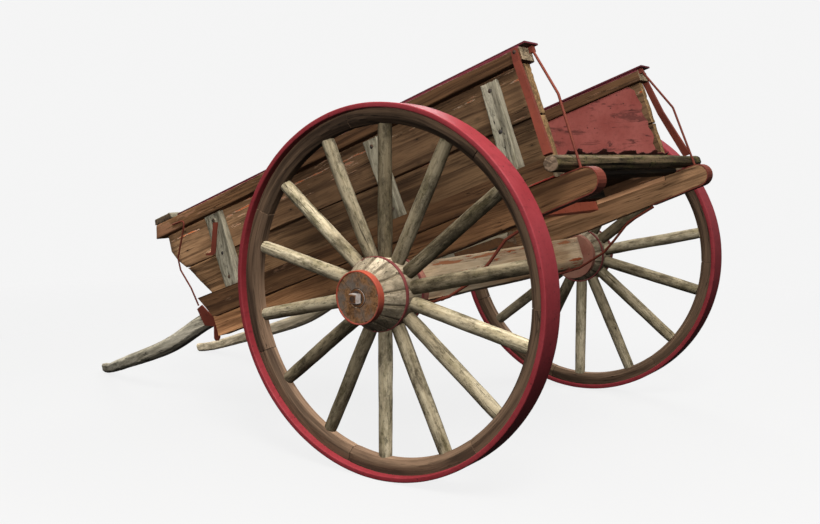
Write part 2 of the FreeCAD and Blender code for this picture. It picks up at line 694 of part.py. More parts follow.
def strap(points, widths, thick):
    """A strap along points that lean in the y-z plane; its width runs along x."""
    sections = []
    for k, (point, width) in enumerate(zip(points, widths)):
        before, after = points[max(k - 1, 0)], points[min(k + 1, len(points) - 1)]
        run = after - before
        run.x = 0
        outward = run.cross(vec(1, 0, 0)).normalize() * (thick / 2)
        half = vec(width / 2, 0, 0)
        corners = [point + half + outward, point - half + outward,
                   point - half - outward, point + half - outward]
        sections.append(Part.makePolygon(corners + corners[:1]))
    return Part.makeLoft(sections, True, True)


STRAP_THICK = 18
STRAP_BOLT = (680, 684)


def strap_bolt():
    return coach_bolt(STRAP_BOLT[0], STRAP_BOLT[1], S.top_rail_outer + STRAP_THICK, 12)


def build_rear_straps():
    """Raking strap from the outside of each top rail to the end of the tail bar."""
    face = S.top_rail_outer + STRAP_THICK / 2 + 0.5
    foot = S.sill_top + S.shoe_thickness + S.tail_bar_size
    points = [vec(678, face, 698), vec(676, face + 1, 648),
              vec(692, face + 22, 500), vec(727, face + 88, foot + 9)]
    both_sides("rear_strap", strap(points, (20, 25, 27, 32), STRAP_THICK).cut(strap_bolt()))


def build_stay_rods():
    """Thin stays from the top rails: at the rear to the sills, at the front to the corner plates."""
    radius, bend = S.rod_radius, 30
    foot = S.sill_top + S.shoe_thickness + 0.5
    rear = [vec(703, 530, RAIL_TOP - 8), vec(773, 583, 490), vec(780, 604, foot)]
    hook = box(694, 712, 520, 540, RAIL_TOP - 24, RAIL_TOP - 2)
    both_sides("rear_stay", bent_rod(rear, radius, bend).fuse(hook))
    front = [vec(-1294, 617, 663), vec(-1208, 617, 658), vec(-1229, 617, 622), vec(-1331, 606, 506),
             vec(-1346, 596, 449), vec(-1330, 576, 352), vec(-1337, 553, 263)]
    both_sides("front_stay", bent_rod(front, radius * 0.8, 14))


def build_under_stays():
    """Stay under each sill: down behind the axle bed, then forward under it and up its front."""
    y, radius = (S.sill_inner + S.sill_outer) / 2, S.under_rod_radius
    top, low = S.sill_bottom - radius - 1, S.bed_bottom - radius - 1.5
    front = -S.bed_half_width - radius - 1.5
    points = [vec(541, y, top + 15), vec(400, y, top - 16), vec(308, y, 2), vec(235, y, -40),
              vec(90, y, low), vec(front, y, low), vec(front, y, 10)]
    both_sides("under_stay", bent_rod(points, radius, 14))


def build_plates():
    """Front corner plate on the inside of each sill, reaching forward beside the shaft."""
    outline = [(-1352, 250), (-1314, 260), (-1255, 176), (-1090, 172), (-1090, 120),
               (-1190, 120), (-1330, 162)]
    shaped("front_plates", with_mirror([prism(outline, SHAFT_OUTER + 3, S.sill_inner)]), TRAY)


def build_cleats():
    """Small iron cleat hung on each front stake, its foot turned forward."""
    face, thick = stake_face(452) + 2, 6
    outline = [(-996, 580), (-1022, 587), (-1087, 463), (-1122, 467),
               (-1125, 460), (-1082, 447), (-1064, 450)]
    cleat = prism(outline, face, face + thick)
    shaped("stake_cleats", with_mirror([cleat]), TRAY)


def build_tray_bolts():
    """Coach bolts through the stakes, and one at the head of each rear strap."""
    bolts = []
    for place in STAKES:
        bolts = bolts + stake_bolts(place)
    shaped("stake_bolts", with_mirror(bolts + [strap_bolt()]), TRAY)


build_rear_straps()
build_stay_rods()
build_under_stays()
build_plates()
build_cleats()
build_tray_bolts()


# ---------------------------------------------------------------- hanging catches

CATCH_X, CATCH_Z = S.sill_front - 14, S.sill_top - 26
CATCH_Y = (S.sill_inner + S.sill_outer) / 2
PIN = 5


def build_catches():
    """A hasp hangs plumb from a staple on the front end of each sill and swings forward."""
    half = S.catch_width / 2
    eye = cross_cylinder(0, 0, 11, CATCH_Y - half, CATCH_Y + half)
    blade = box(-3, 3, CATCH_Y - half, CATCH_Y + half, half - S.catch_length, -4)
    tip = Part.makeCylinder(half, 6, vec(-3, CATCH_Y, half - S.catch_length), vec(1, 0, 0))
    hasp = eye.fuse(blade).fuse(tip)
    hasp = hasp.cut(cross_cylinder(0, 0, PIN + S.running_gap, CATCH_Y - 2 * half, CATCH_Y + 2 * half))
    hasp.rotate(vec(0, 0, 0), vec(0, 1, 0), S.tray_pitch)
    hasp.translate(vec(CATCH_X, 0, CATCH_Z))
    both_sides("catch", hasp.removeSplitter())

    staple = cross_cylinder(CATCH_X, CATCH_Z, PIN, CATCH_Y - 28, CATCH_Y + 28)
    for y in (CATCH_Y - 28, CATCH_Y + 20):
        lug = box(CATCH_X, S.sill_front, y, y + 8, CATCH_Z - 9, CATCH_Z + 9)
        staple = staple.fuse(lug).fuse(cross_cylinder(CATCH_X, CATCH_Z, 9, y, y + 8))
    shaped("catch_staples", with_mirror([staple.removeSplitter()]), TRAY)


build_catches()


# ---------------------------------------------------------------- shafts

def build_shafts():
    """Two shafts: straight roots under the floor, curving in to the horse's width at the tips."""
    root_z = S.sill_top - 0.5 - S.shaft_depth / 2
    # The tip's lower edge rests on the ground, one wheel radius under the axle.
    pitch = math.radians(S.tray_pitch)
    tip_bottom = (S.shaft_reach * math.sin(pitch) - S.wheel_radius) / math.cos(pitch)
    tip_z = tip_bottom + S.shaft_tip_depth / 2
    stations = [  # x, middle across, middle height, depth as a share of root depth
        (S.shaft_rear, S.shaft_middle, root_z, 1.0), (-700, S.shaft_middle, root_z, 1.0),
        (-1220, S.shaft_middle, root_z, 1.0), (-1400, S.shaft_middle + 5, root_z + 12, 1.0),
        (-1540, S.shaft_middle + 8, root_z - 16, 1.0), (-1700, S.shaft_middle + 4, root_z - 35, 0.97),
        (-1860, S.shaft_middle - 11, root_z - 36, 0.93), (-2020, S.shaft_middle - 36, root_z - 32, 0.88),
        (-2170, S.shaft_middle - 72, root_z - 28, 0.8), (-2310, S.shaft_middle - 116, root_z - 23, 0.73),
        (-S.shaft_reach, S.shaft_tip_middle, tip_z, S.shaft_tip_depth / S.shaft_depth)]

    def section(station):
        x, y, z, share = station
        half = S.shaft_depth * share / 2
        ease = half * 0.42
        ring = [(half, half - ease), (half - ease, half), (ease - half, half), (-half, half - ease),
                (-half, ease - half), (ease - half, -half), (half - ease, -half), (half, ease - half)]
        corners = [vec(x, y + across, z + up) for across, up in ring]
        return Part.makePolygon(corners + corners[:1])

    straight = Part.makeLoft([section(item) for item in stations[:3]], True, True)
    curved = Part.makeLoft([section(item) for item in stations[2:]], True, False)
    both_sides("shaft", straight.fuse(curved))


def build_shaft_bars():
    """Two bars tie the shafts together under the floor."""
    reach = SHAFT_INNER
    bars = [box(x, x + 60, -reach, reach, 132, 196) for x in (-1110, -560)]
    shaped("shaft_cross_bars", Part.makeCompound(bars), TRAY)


def build_hinge_irons():
    """Flat irons on the inner faces of the shafts. Their eyes turn on the axle, so the tray tips."""
    y0, y1 = SHAFT_INNER - S.iron_thickness, SHAFT_INNER
    half = S.iron_width / 2
    arm_z = S.sill_top - 0.5 - S.shaft_depth / 2
    bend_x = -230
    rise = math.atan2(arm_z, -bend_x)
    nx, nz = math.sin(rise) * half, math.cos(rise) * half
    arm = prism([(nx, nz), (bend_x + nx, arm_z + nz), (bend_x - nx, arm_z - nz), (-nx, -nz)], y0, y1)
    run = box(-500, bend_x, y0, y1, arm_z - half, arm_z + half)
    iron = arm.fuse(run).fuse(cross_cylinder(bend_x, arm_z, half, y0, y1))
    iron = iron.fuse(cross_cylinder(0, 0, half + 22, y0, y1))
    iron = iron.cut(cross_cylinder(0, 0, S.axle_radius + S.running_gap, y0 - 1, y1 + 1)).removeSplitter()
    both_sides("hinge_iron", iron)


build_shafts()
build_shaft_bars()
build_hinge_irons()


# ---------------------------------------------------------------- origin, checks and files

def centre_on_footprint():
    """Moves the axle along X until the row origin is the middle of the whole cart's length."""
    doc.recompute()
    low = min(item.Shape.BoundBox.XMin for item in subparts)
    high = max(item.Shape.BoundBox.XMax for item in subparts)
    cell = sheet.getCellFromAlias("origin_x")
    sheet.set(cell, "%.3f" % (S.origin_x - (low + high) / 2))
    doc.recompute()


def write_steps():
    for item in doc.Objects:
        if "Invalid" in item.State or "Error" in item.State:
            raise RuntimeError("%s failed: %s" % (item.Label, item.State))
    for item in subparts:
        if item.Shape.isNull() or not item.Shape.isValid() or not item.Shape.Solids:
            raise RuntimeError("%s has no sound solid" % item.Label)
    os.makedirs("parts", exist_ok=True)
    for item in subparts:
        item.Shape.exportStep(os.path.join("parts", item.Label + ".step"))
    print(len(subparts), "sub-parts written")


centre_on_footprint()
write_steps()
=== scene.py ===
import json
import math
import random

import bmesh
import bpy
from mathutils import Matrix, Vector, noise

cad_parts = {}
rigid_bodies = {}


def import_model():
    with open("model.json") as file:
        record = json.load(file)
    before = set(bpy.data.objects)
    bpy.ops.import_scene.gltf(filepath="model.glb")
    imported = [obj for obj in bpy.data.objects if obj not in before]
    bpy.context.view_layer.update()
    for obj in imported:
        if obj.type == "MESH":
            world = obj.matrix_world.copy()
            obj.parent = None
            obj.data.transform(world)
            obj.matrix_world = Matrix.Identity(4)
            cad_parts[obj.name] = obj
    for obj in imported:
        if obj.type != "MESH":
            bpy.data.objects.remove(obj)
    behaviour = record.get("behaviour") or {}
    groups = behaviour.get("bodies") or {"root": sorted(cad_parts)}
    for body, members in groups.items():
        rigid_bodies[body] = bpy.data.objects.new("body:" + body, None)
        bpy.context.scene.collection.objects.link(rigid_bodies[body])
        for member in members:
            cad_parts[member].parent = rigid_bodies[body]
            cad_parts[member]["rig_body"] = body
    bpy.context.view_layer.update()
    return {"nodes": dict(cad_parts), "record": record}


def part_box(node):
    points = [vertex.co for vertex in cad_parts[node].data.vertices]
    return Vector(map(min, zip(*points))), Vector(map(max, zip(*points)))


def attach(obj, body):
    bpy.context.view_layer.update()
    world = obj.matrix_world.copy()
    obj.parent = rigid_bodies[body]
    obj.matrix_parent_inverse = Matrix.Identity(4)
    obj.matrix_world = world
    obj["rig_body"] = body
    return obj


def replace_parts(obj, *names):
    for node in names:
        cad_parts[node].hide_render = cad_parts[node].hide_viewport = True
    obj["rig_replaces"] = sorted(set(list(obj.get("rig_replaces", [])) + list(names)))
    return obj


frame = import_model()

# A two-wheeled tipping dray. Metres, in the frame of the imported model: +X to the tail, -Y the left side,
# +Z up. The tray is pitched tail-up, so its pieces are worked on in tray coordinates: origin in the
# middle of the axle, x along the floor to the tail, z square to the floor. Sizes given in millimetres are
# multiplied by MM.

MM = 0.001
SIDES = {"left": -1, "right": 1}


def middle(node):
    low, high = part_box(node)
    return (low + high) / 2


def reach(node):
    low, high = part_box(node)
    return high - low


WHEEL_CENTRE = {side: middle("tyre_" + side) for side in SIDES}
WHEEL_RADIUS = reach("tyre_left").z / 2
AXLE = Vector((WHEEL_CENTRE["left"].x, 0, WHEEL_CENTRE["left"].z))
FLOOR_NORMAL = Vector(frame["record"]["mounts"][0]["axis"])
PITCH = math.atan2(-FLOOR_NORMAL.x, FLOOR_NORMAL.z)
TRAY = Matrix.Translation(AXLE) @ Matrix.Rotation(-PITCH, 4, "Y")
TO_TRAY = TRAY.inverted()


# ------------------------------------------------------------------ materials

# Noise patterns of the wood: scale along the grain and across it, offset, detail, roughness and twist.
PATTERNS = {
    "bend": (1.2, 3, (0, 0, 0), 2.0, 0.6, 0.0),
    "fibre": (5, 170, (0, 0, 0), 5.0, 0.65, 0.0),
    "bands": (1.1, 34, (3, 1, 2), 3.0, 0.55, 0.4),
    "broad": (1.7, 6, (7, 4, 1), 3.0, 0.6, 0.0),
    "growth": (9, 30, (5, 5, 9), 6.0, 0.75, 0.0),
    "speck": (40, 85, (1, 8, 3), 4.0, 0.75, 0.0),
    "split": (1.6, 60, (11, 2, 6), 2.0, 0.5, 0.0),
    "split_zone": (2.4, 9, (4, 3, 8), 2.0, 0.6, 0.0),
    "flake": (5, 45, (8, 6, 2), 5.0, 0.7, 0.0),
    "flake_zone": (1.5, 8, (1, 3, 4), 2.0, 0.6, 0.0),
}
# How far the grain wanders sideways.
BEND = (0.0, 0.05, 0.05)
LICHEN = (0.075, 0.066, 0.022)
LICHEN_SPECK = (0.010, 0.009, 0.004)
NAIL_HOLE = (0.006, 0.004, 0.003)
NAIL_SCALE, NAIL_SQUASH, NAIL_OFFSET = 5.5, (1, 2.2, 2.2), (0.3, 0.1, 0.7)
RED_FLAKE = (0.33, 0.075, 0.025)
FLAKE_EDGE = (0.42, 0.30, 0.20)
PRIMER = (0.36, 0.27, 0.19)
CUT_WOOD = (0.16, 0.11, 0.07)
STALE_CUT = (0.13, 0.115, 0.10)
DARKEST_TONE, PALEST_TONE = (0.30, 0.27, 0.23), (1.35, 1.35, 1.35)
# Along the tray: where the wood begins to pale towards the front, and where it is palest.
PALER_FROM, PALEST_FROM = -0.5, -1.15
IRON_CHIP = (0.02, 0.010, 0.008)


def scaled(colour, factor):
    return tuple(channel * factor for channel in colour)


class Paint:
    """A material and short ways to add nodes to it. Every method returns an output socket."""

    def __init__(self, name):
        self.material = bpy.data.materials.new(name)
        self.material.use_nodes = True
        self.tree = self.material.node_tree
        self.shader = self.tree.nodes["Principled BSDF"]

    def add(self, kind, settings, sockets, output=0):
        node = self.tree.nodes.new("ShaderNode" + kind)
        for key, value in settings.items():
            setattr(node, key, value)
        for key, value in sockets.items():
            self.put(node.inputs[key], value)
        return node.outputs[output]

    def put(self, socket, value):
        if isinstance(value, bpy.types.NodeSocket):
            self.tree.links.new(value, socket)
        elif isinstance(value, tuple) and len(value) == 3 and len(socket.default_value) == 4:
            socket.default_value = value + (1,)
        else:
            socket.default_value = value

    def stored(self, name):
        """A vector stored on the mesh. "grain" is the stick's own place: x along the grain, y and z across
        it, shifted for each stick. "tray" is the place in the tray."""
        return self.add("Attribute", {"attribute_name": name}, {}, output=1)

    def stored_level(self, name):
        """A single number stored on the mesh."""
        return self.add("Attribute", {"attribute_name": name}, {}, output=2)

    def place(self):
        """The mesh's own coordinates, in metres."""
        return self.add("TexCoord", {}, {}, output=3)

    def stretch(self, vector, scale, shift=(0, 0, 0)):
        return self.add("Mapping", {}, {0: vector, 1: shift, 3: scale})

    def noise(self, vector, scale, detail=4.0, rough=0.6, twist=0.0):
        return self.add("TexNoise", {}, {"Vector": vector, "Scale": scale, "Detail": detail,
                                         "Roughness": rough, "Distortion": twist})

    def pattern(self, vector, along, across, offset, detail, rough, twist):
        """Noise drawn out along the grain."""
        return self.noise(self.stretch(vector, (along, across, across), offset), 1.0, detail, rough, twist)

    def cells(self, vector, scale):
        """Distance to the nearest of many scattered points."""
        return self.add("TexVoronoi", {}, {"Vector": vector, "Scale": scale})

    def mask(self, factor, low, high):
        """0 below low, 1 above high; turned round when low is above high."""
        return self.add("MapRange", {"clamp": True}, {0: factor, 1: low, 2: high, 3: 0.0, 4: 1.0})

    def mix(self, factor, first, second, how="MIX"):
        settings = {"data_type": "RGBA", "blend_type": how}
        return self.add("Mix", settings, {0: factor, 6: first, 7: second}, output=2)

    def maths(self, how, first, second=0.0):
        return self.add("Math", {"operation": how}, {0: first, 1: second})

    def plus(self, first, second):
        return self.maths("ADD", first, second)

    def minus(self, first, second):
        return self.maths("SUBTRACT", first, second)

    def times(self, first, second):
        return self.maths("MULTIPLY", first, second)

    def axis(self, vector, index):
        return self.add("SeparateXYZ", {}, {0: vector}, output=index)

    def normal(self, index):
        return self.axis(self.add("NewGeometry", {}, {}, output=1), index)

    def shaded(self, colour, low, high):
        """Painted light and shade: the colour times low on faces that look down and times high on faces
        that look up.
        """
        level = self.mix(self.mask(self.normal(2), -0.8, 0.9), (low, low, low), (high, high, high))
        return self.mix(1.0, colour, level, "MULTIPLY")

    def finish(self, colour, rough, height=None, strength=0.5, depth=0.002, metal=0.0, shine=0.3):
        self.put(self.shader.inputs["Base Color"], colour)
        self.put(self.shader.inputs["Roughness"], rough)
        self.put(self.shader.inputs["Metallic"], metal)
        self.put(self.shader.inputs["Specular IOR Level"], shine)
        if height is not None:
            bump = self.add("Bump", {}, {"Strength": strength, "Distance": depth, "Height": height})
            self.put(self.shader.inputs["Normal"], bump)
        return self.material


def add_lichen(p, grain, colour, height, share):
    """Brown-green growth with almost black specks in it."""
    growth = p.pattern(grain, *PATTERNS["growth"])
    colour = p.mix(p.times(p.mask(growth, 0.5, 0.62), share), colour, LICHEN)
    speck = p.pattern(grain, *PATTERNS["speck"])
    fine = p.times(p.mask(speck, 0.52, 0.62), p.mask(growth, 0.42, 0.56))
    colour = p.mix(p.times(fine, min(1.0, share * 1.4)), colour, LICHEN_SPECK)
    return colour, p.plus(height, p.times(fine, -0.5))


def add_splits(p, grain, wander, colour, height, share, soot):
    """Thin dark splits along the grain, in some zones only."""
    split = p.pattern(wander, *PATTERNS["split"])
    thin = p.mask(p.maths("ABSOLUTE", p.minus(split, 0.5)), 0.014, 0.004)
    zone = p.mask(p.pattern(grain, *PATTERNS["split_zone"]), 0.48, 0.58)
    crack = p.times(thin, p.times(zone, share))
    return p.mix(crack, colour, soot), p.minus(height, p.times(crack, 2.5))


def add_nail_holes(p, grain, colour, height, share):
    """Scattered old nail holes, each with a darker stain round it."""
    away = p.cells(p.stretch(grain, NAIL_SQUASH, NAIL_OFFSET), NAIL_SCALE)
    hole = p.times(p.mask(away, 0.036, 0.024), share)
    stain = p.times(p.mask(away, 0.12, 0.03), share * 0.4)
    colour = p.mix(p.maths("MAXIMUM", hole, stain), colour, NAIL_HOLE)
    return colour, p.minus(height, p.times(hole, 3.0))


def add_flakes(p, grain, colour, height, share, left):
    """The last flakes of red paint, with a pale edge."""
    zone = p.pattern(grain, *PATTERNS["flake_zone"])
    both = p.plus(p.times(left, 0.6), p.times(zone, 0.5))
    edge = p.times(p.mask(both, 0.645, 0.655), share)
    flake = p.times(p.mask(both, 0.655, 0.67), share)
    colour = p.mix(flake, p.mix(edge, colour, FLAKE_EDGE), RED_FLAKE)
    return colour, p.plus(height, p.times(flake, 0.8))


def add_line(p, tray, colour, line, left):
    """A thin band of old paint along the tray, over what is left of its primer."""
    level, half, share, paint, start = line
    off = p.maths("ABSOLUTE", p.minus(p.axis(tray, 2), level))
    band = p.plus(p.maths("DIVIDE", off, half), p.times(left, 2.0))
    band = p.times(p.mask(band, 0.7 + share, 0.6 + share), p.mask(p.axis(tray, 0), start, start + 0.15))
    colour = p.mix(p.mask(band, 0.0, 0.5), colour, PRIMER)
    return p.mix(p.mask(band, 0.5, 1.0), colour, paint)


def wood(name, pale, mid, dark, lines=1.0, grime=0.5, cracks=0.5, moss=0.0, flakes=0.0, holes=0.5,
         painted_top_light=0.3, painted_under_shade=0.5, toned=False, line=None, front=1.0, patch=(3.5, 16), spread=0.0,
         end=CUT_WOOD, knots=45, stale=0.0):
    """Bare weathered wood: long fibres, growth bands, black grime, dark splits, painted light on faces that
    look up and painted shade on faces that look down, and on some sticks lichen, old nail holes and the
    last flakes of red paint.

    lines, grime, cracks, moss, flakes and holes are how strong each mark is. line is a thin band of old
    paint: height above the axle in the tray, half width, share, colour and the x it starts at. front is
    how much paler the wood is at the front of the tray. patch is the scale of the grime along and across
    the grain, and spread widens it. end is the colour of the end grain, knots is how fine its marks are
    and stale how grey it has gone. toned wood takes its brightness from the mesh."""
    p = Paint(name)
    grain, tray = p.stored("grain"), p.stored("tray")
    soot = scaled(dark, 0.22)
    bent = p.pattern(grain, *PATTERNS["bend"]).node.outputs["Color"]
    wander = p.add("VectorMath", {"operation": "MULTIPLY_ADD"}, {0: bent, 1: BEND, 2: grain})
    fibre = p.pattern(wander, *PATTERNS["fibre"])
    bands = p.pattern(wander, *PATTERNS["bands"])
    broad = p.pattern(grain, *PATTERNS["broad"])
    colour = p.mix(p.mask(broad, 0.38, 0.64), mid, pale)
    colour = p.mix(p.times(p.mask(bands, 0.47, 0.62), 0.8 * lines), colour, dark)
    colour = p.mix(p.times(p.mask(fibre, 0.5, 0.7), 0.8 * lines), colour, dark)
    colour = p.mix(p.times(p.mask(fibre, 0.46, 0.3), 0.5 * lines), colour, pale)
    height = p.plus(p.times(fibre, -0.8), p.times(bands, -0.7))
    blotch = p.pattern(grain, *patch, (2, 9, 5), 6.0, 0.75, 0.0)
    colour = p.mix(p.times(p.mask(blotch, 0.52 - spread, 0.68 - spread), grime), colour, soot)
    if moss:
        colour, height = add_lichen(p, grain, colour, height, moss)
    colour, height = add_splits(p, grain, wander, colour, height, cracks, soot)
    if holes:
        colour, height = add_nail_holes(p, grain, colour, height, holes)
    left = p.pattern(grain, *PATTERNS["flake"])
    if flakes:
        colour, height = add_flakes(p, grain, colour, height, flakes, left)
    if line:
        colour = add_line(p, tray, colour, line, left)
    rings = p.pattern(grain, 1, knots, (6, 6, 6), 3.0, 0.5, 1.5)
    cut = p.mix(p.mask(rings, 0.42, 0.6), end, scaled(end, 0.5))
    cut = p.mix(p.times(p.mask(broad, 0.42, 0.62), stale), cut, STALE_CUT)
    cut = p.mix(p.times(p.mask(blotch, 0.5, 0.75), 0.4), cut, soot)
    colour = p.mix(p.stored_level("end_grain"), colour, cut)
    if toned:
        tone = p.mix(p.stored_level("tone"), DARKEST_TONE, PALEST_TONE)
        colour = p.mix(1.0, colour, tone, "MULTIPLY")
    if front != 1.0:
        paler = p.mix(1.0, colour, (front, front, front), "MULTIPLY")
        colour = p.mix(p.mask(p.axis(tray, 0), PALER_FROM, PALEST_FROM), colour, paler)
    # Painted light and shade: faces that look up are brightened by tops, faces that look down darkened by
    # under.
    colour = p.shaded(colour, painted_under_shade, 1.0 + painted_top_light)
    rough = p.plus(p.mask(fibre, 0.0, 1.6), 0.5)
    return p.finish(colour, rough, height, strength=0.6, depth=2.4 * MM, shine=0.12)


def iron_paint(name, colour, worn, rust, wear=0.4, rust_share=0.3, rough=0.45, scuffs=0.0, painted_under_shade=0.5,
               painted_top_light=1.35):
    """Old red paint on iron: uneven colour, rubbed patches, rust where it has gone, small chips, painted
    light on faces that look up and painted shade on faces that look down.
    scuffs are long dark scrapes."""
    p = Paint(name)
    place = p.place()
    cloud = p.noise(place, 6.0, 5.0)
    fine = p.noise(place, 55.0, 5.0, 0.7)
    base = p.mix(p.mask(cloud, 0.34, 0.66), colour, worn)
    base = p.mix(p.times(p.mask(fine, 0.52, 0.75), 0.4), base, scaled(colour, 0.45))
    patch = p.noise(p.stretch(place, (1, 1, 1), (5, 2, 8)), 13.0, 7.0, 0.75, 0.5)
    gone = p.times(p.mask(patch, 0.74 - 0.22 * rust_share, 0.77 - 0.2 * rust_share), wear)
    base = p.mix(gone, base, rust)
    chips = p.times(p.mask(p.cells(place, 26.0), 0.10, 0.06), wear)
    base = p.mix(chips, base, IRON_CHIP)
    if scuffs:
        scrape = p.noise(p.stretch(place, (5, 5, 22)), 1.0, 6.0, 0.75, 0.6)
        base = p.mix(p.times(p.mask(scrape, 0.55, 0.64), scuffs), base, scaled(worn, 0.3))
        thin = p.noise(p.stretch(place, (14, 14, 60), (4, 4, 4)), 1.0, 3.0)
        base = p.mix(p.times(p.mask(thin, 0.62, 0.7), scuffs), base, scaled(worn, 0.2))
    # Painted light on faces that look up, painted shade on faces that look down.
    base = p.shaded(base, painted_under_shade, painted_top_light)
    height = p.minus(p.times(fine, 0.4), p.plus(gone, chips))
    finish = p.plus(p.times(gone, 0.35), p.plus(p.times(fine, 0.15), rough))
    return p.finish(base, finish, height, strength=0.4, depth=1.2 * MM, shine=0.2)


def bare_iron(name, dark, rust, pale, share=0.5):
    """Unpainted iron with rust bloom."""
    p = Paint(name)
    place = p.place()
    bloom = p.noise(place, 28.0, 7.0, 0.7, 0.4)
    fine = p.noise(place, 160.0, 4.0, 0.7)
    base = p.mix(p.mask(bloom, 0.62 - 0.3 * share, 0.75 - 0.25 * share), dark, rust)
    base = p.mix(p.times(p.mask(fine, 0.55, 0.75), 0.6), base, pale)
    height = p.plus(bloom, p.times(fine, 0.4))
    rough = p.plus(p.times(bloom, 0.35), 0.5)
    return p.finish(base, rough, height, strength=0.5, depth=1.5 * MM, metal=0.35)


def nut_iron():
    """Bright sides and a dark rusty face."""
    p = Paint("rusty_nut_iron")
    rust = p.noise(p.place(), 60.0, 5.0, 0.7)
    faced = p.maths("ABSOLUTE", p.normal(1))
    side = p.mix(p.mask(rust, 0.45, 0.7), (0.50, 0.46, 0.43), (0.22, 0.15, 0.11))
    face = p.mix(p.mask(rust, 0.4, 0.65), (0.055, 0.022, 0.008), (0.16, 0.065, 0.018))
    return p.finish(p.mix(p.mask(faced, 0.6, 0.8), side, face), 0.6, rust, strength=0.5, depth=1.5 * MM)


# Bands of old paint: height above the axle in the tray, half width, share, colour and the x it starts at.
# EVERYWHERE is further forward than any part of the tray, so a band from there runs the whole length.
EVERYWHERE = -2.0
ORANGE_LINE = (0.602, 0.024, 0.30, (0.33, 0.085, 0.025), EVERYWHERE)
RED_LINE = (0.2065, 0.007, 0.6, (0.25, 0.03, 0.02), 0.45)
CAP_LINE = (0.702, 0.008, 0.9, (0.12, 0.020, 0.028), -1.28)
BED_LINE = (0.066, 0.034, 0.42, (0.36, 0.145, 0.070), EVERYWHERE)

BOARD_CUT = (0.29, 0.175, 0.08)
RAIL_CUT = (0.33, 0.25, 0.16)
RAIL_COLOURS = ((0.130, 0.066, 0.030), (0.088, 0.043, 0.020), (0.032, 0.015, 0.007))

LOWER_BOARD = wood("lower_board_wood", (0.145, 0.084, 0.042), (0.092, 0.050, 0.024), (0.026, 0.013, 0.006),
                   grime=0.4, cracks=0.7, holes=0.9, front=3.0, end=BOARD_CUT)
BOARD = wood("brown_board_wood", (0.168, 0.097, 0.050), (0.106, 0.058, 0.029), (0.032, 0.016, 0.008),
             lines=0.85, grime=0.45, cracks=0.7, flakes=0.5, holes=1.0, line=ORANGE_LINE, front=3.0,
             end=BOARD_CUT)
RAIL = wood("brown_rail_wood", *RAIL_COLOURS, grime=0.35, cracks=0.6, flakes=0.15, line=RED_LINE,
            front=1.6, end=RAIL_CUT)
TOP_RAIL = wood("top_rail_wood", *RAIL_COLOURS, grime=0.35, cracks=0.6, flakes=0.15, line=CAP_LINE,
                front=2.0, end=RAIL_CUT)
SILL = wood("brown_sill_wood", (0.200, 0.100, 0.046), (0.130, 0.065, 0.030), (0.045, 0.020, 0.009),
            lines=0.9, grime=0.3, cracks=0.7, front=5.2)
# A lighter copy of the sill wood for the right sill: painted light on that sill.
SILL_PAINTED_LIT = wood("sill_wood_painted_lit", (0.44, 0.245, 0.125), (0.29, 0.160, 0.082), (0.09, 0.047, 0.023),
                 lines=0.9, grime=0.3, cracks=0.7, front=1.4)
GREY = wood("grey_weathered_wood", (0.36, 0.33, 0.25), (0.23, 0.205, 0.145), (0.06, 0.05, 0.032),
            lines=0.8, cracks=1.0, moss=0.25, holes=0.9)
SHAFT = wood("grey_shaft_wood", (0.48, 0.44, 0.35), (0.31, 0.28, 0.21), (0.08, 0.070, 0.052),
             lines=0.8, grime=0.35, cracks=1.0, moss=0.1, holes=0.3, painted_top_light=1.3, painted_under_shade=0.35)
# A lighter, evener copy of the shaft wood for the right shaft: painted light on that shaft.
SHAFT_PAINTED_LIT = wood("shaft_wood_painted_lit", (0.30, 0.255, 0.18), (0.21, 0.175, 0.125), (0.06, 0.048, 0.03),
                  lines=0.7, grime=0.3, cracks=1.0, moss=0.1, holes=0.3, painted_top_light=0.8, painted_under_shade=0.6, front=2.2)
SPOKE = wood("grey_spoke_wood", (0.45, 0.395, 0.28), (0.27, 0.23, 0.155), (0.16, 0.125, 0.07),
             lines=0.6, grime=0.8, cracks=0.9, moss=0.4, holes=1.0, painted_top_light=0.9, painted_under_shade=0.45, toned=True,
             patch=(7, 15), spread=0.05)
TAIL = wood("mossy_tail_wood", (0.115, 0.080, 0.044), (0.050, 0.034, 0.017), (0.012, 0.009, 0.005),
            lines=0.9, grime=0.9, cracks=0.9, moss=0.8, holes=0.6, painted_top_light=0.9, end=(0.17, 0.12, 0.08))
FELLOE = wood("felloe_wood", (0.165, 0.106, 0.068), (0.112, 0.071, 0.046), (0.038, 0.025, 0.017),
              lines=0.9, grime=0.3, cracks=0.8, painted_top_light=1.3, painted_under_shade=0.05, toned=True)
NAVE = wood("nave_wood", (0.54, 0.455, 0.33), (0.34, 0.285, 0.20), (0.06, 0.046, 0.03),
            lines=0.6, grime=0.3, cracks=1.0, moss=0.1, holes=0.2, painted_top_light=0.42, painted_under_shade=0.25, toned=True,
            end=(0.25, 0.125, 0.055), knots=16, stale=0.8)
BED = wood("bed_wood", (0.62, 0.50, 0.34), (0.46, 0.31, 0.18), (0.16, 0.06, 0.025),
           lines=0.5, grime=0.25, cracks=0.8, flakes=1.0, holes=0.4, painted_top_light=0.6, line=BED_LINE,
           end=(0.34, 0.17, 0.08))
# Pale peach wood for the ledgers, far paler than the sill wood: partly the wood's colour, partly painted
# light on the strip.
LEDGER_WOOD_PAINTED_LIT = wood("ledger_wood", (0.55, 0.30, 0.16), (0.40, 0.20, 0.10), (0.16, 0.07, 0.03),
             lines=0.5, grime=0.1, cracks=0.3, holes=0.2)
# Near-black wood for the floor boards and bearers: painted shade beneath the tray.
PAINTED_SHADE_WOOD = wood("underside_wood_painted_shade", (0.020, 0.015, 0.010), (0.012, 0.009, 0.006), (0.005, 0.004, 0.003),
             grime=0.3, holes=0.0)

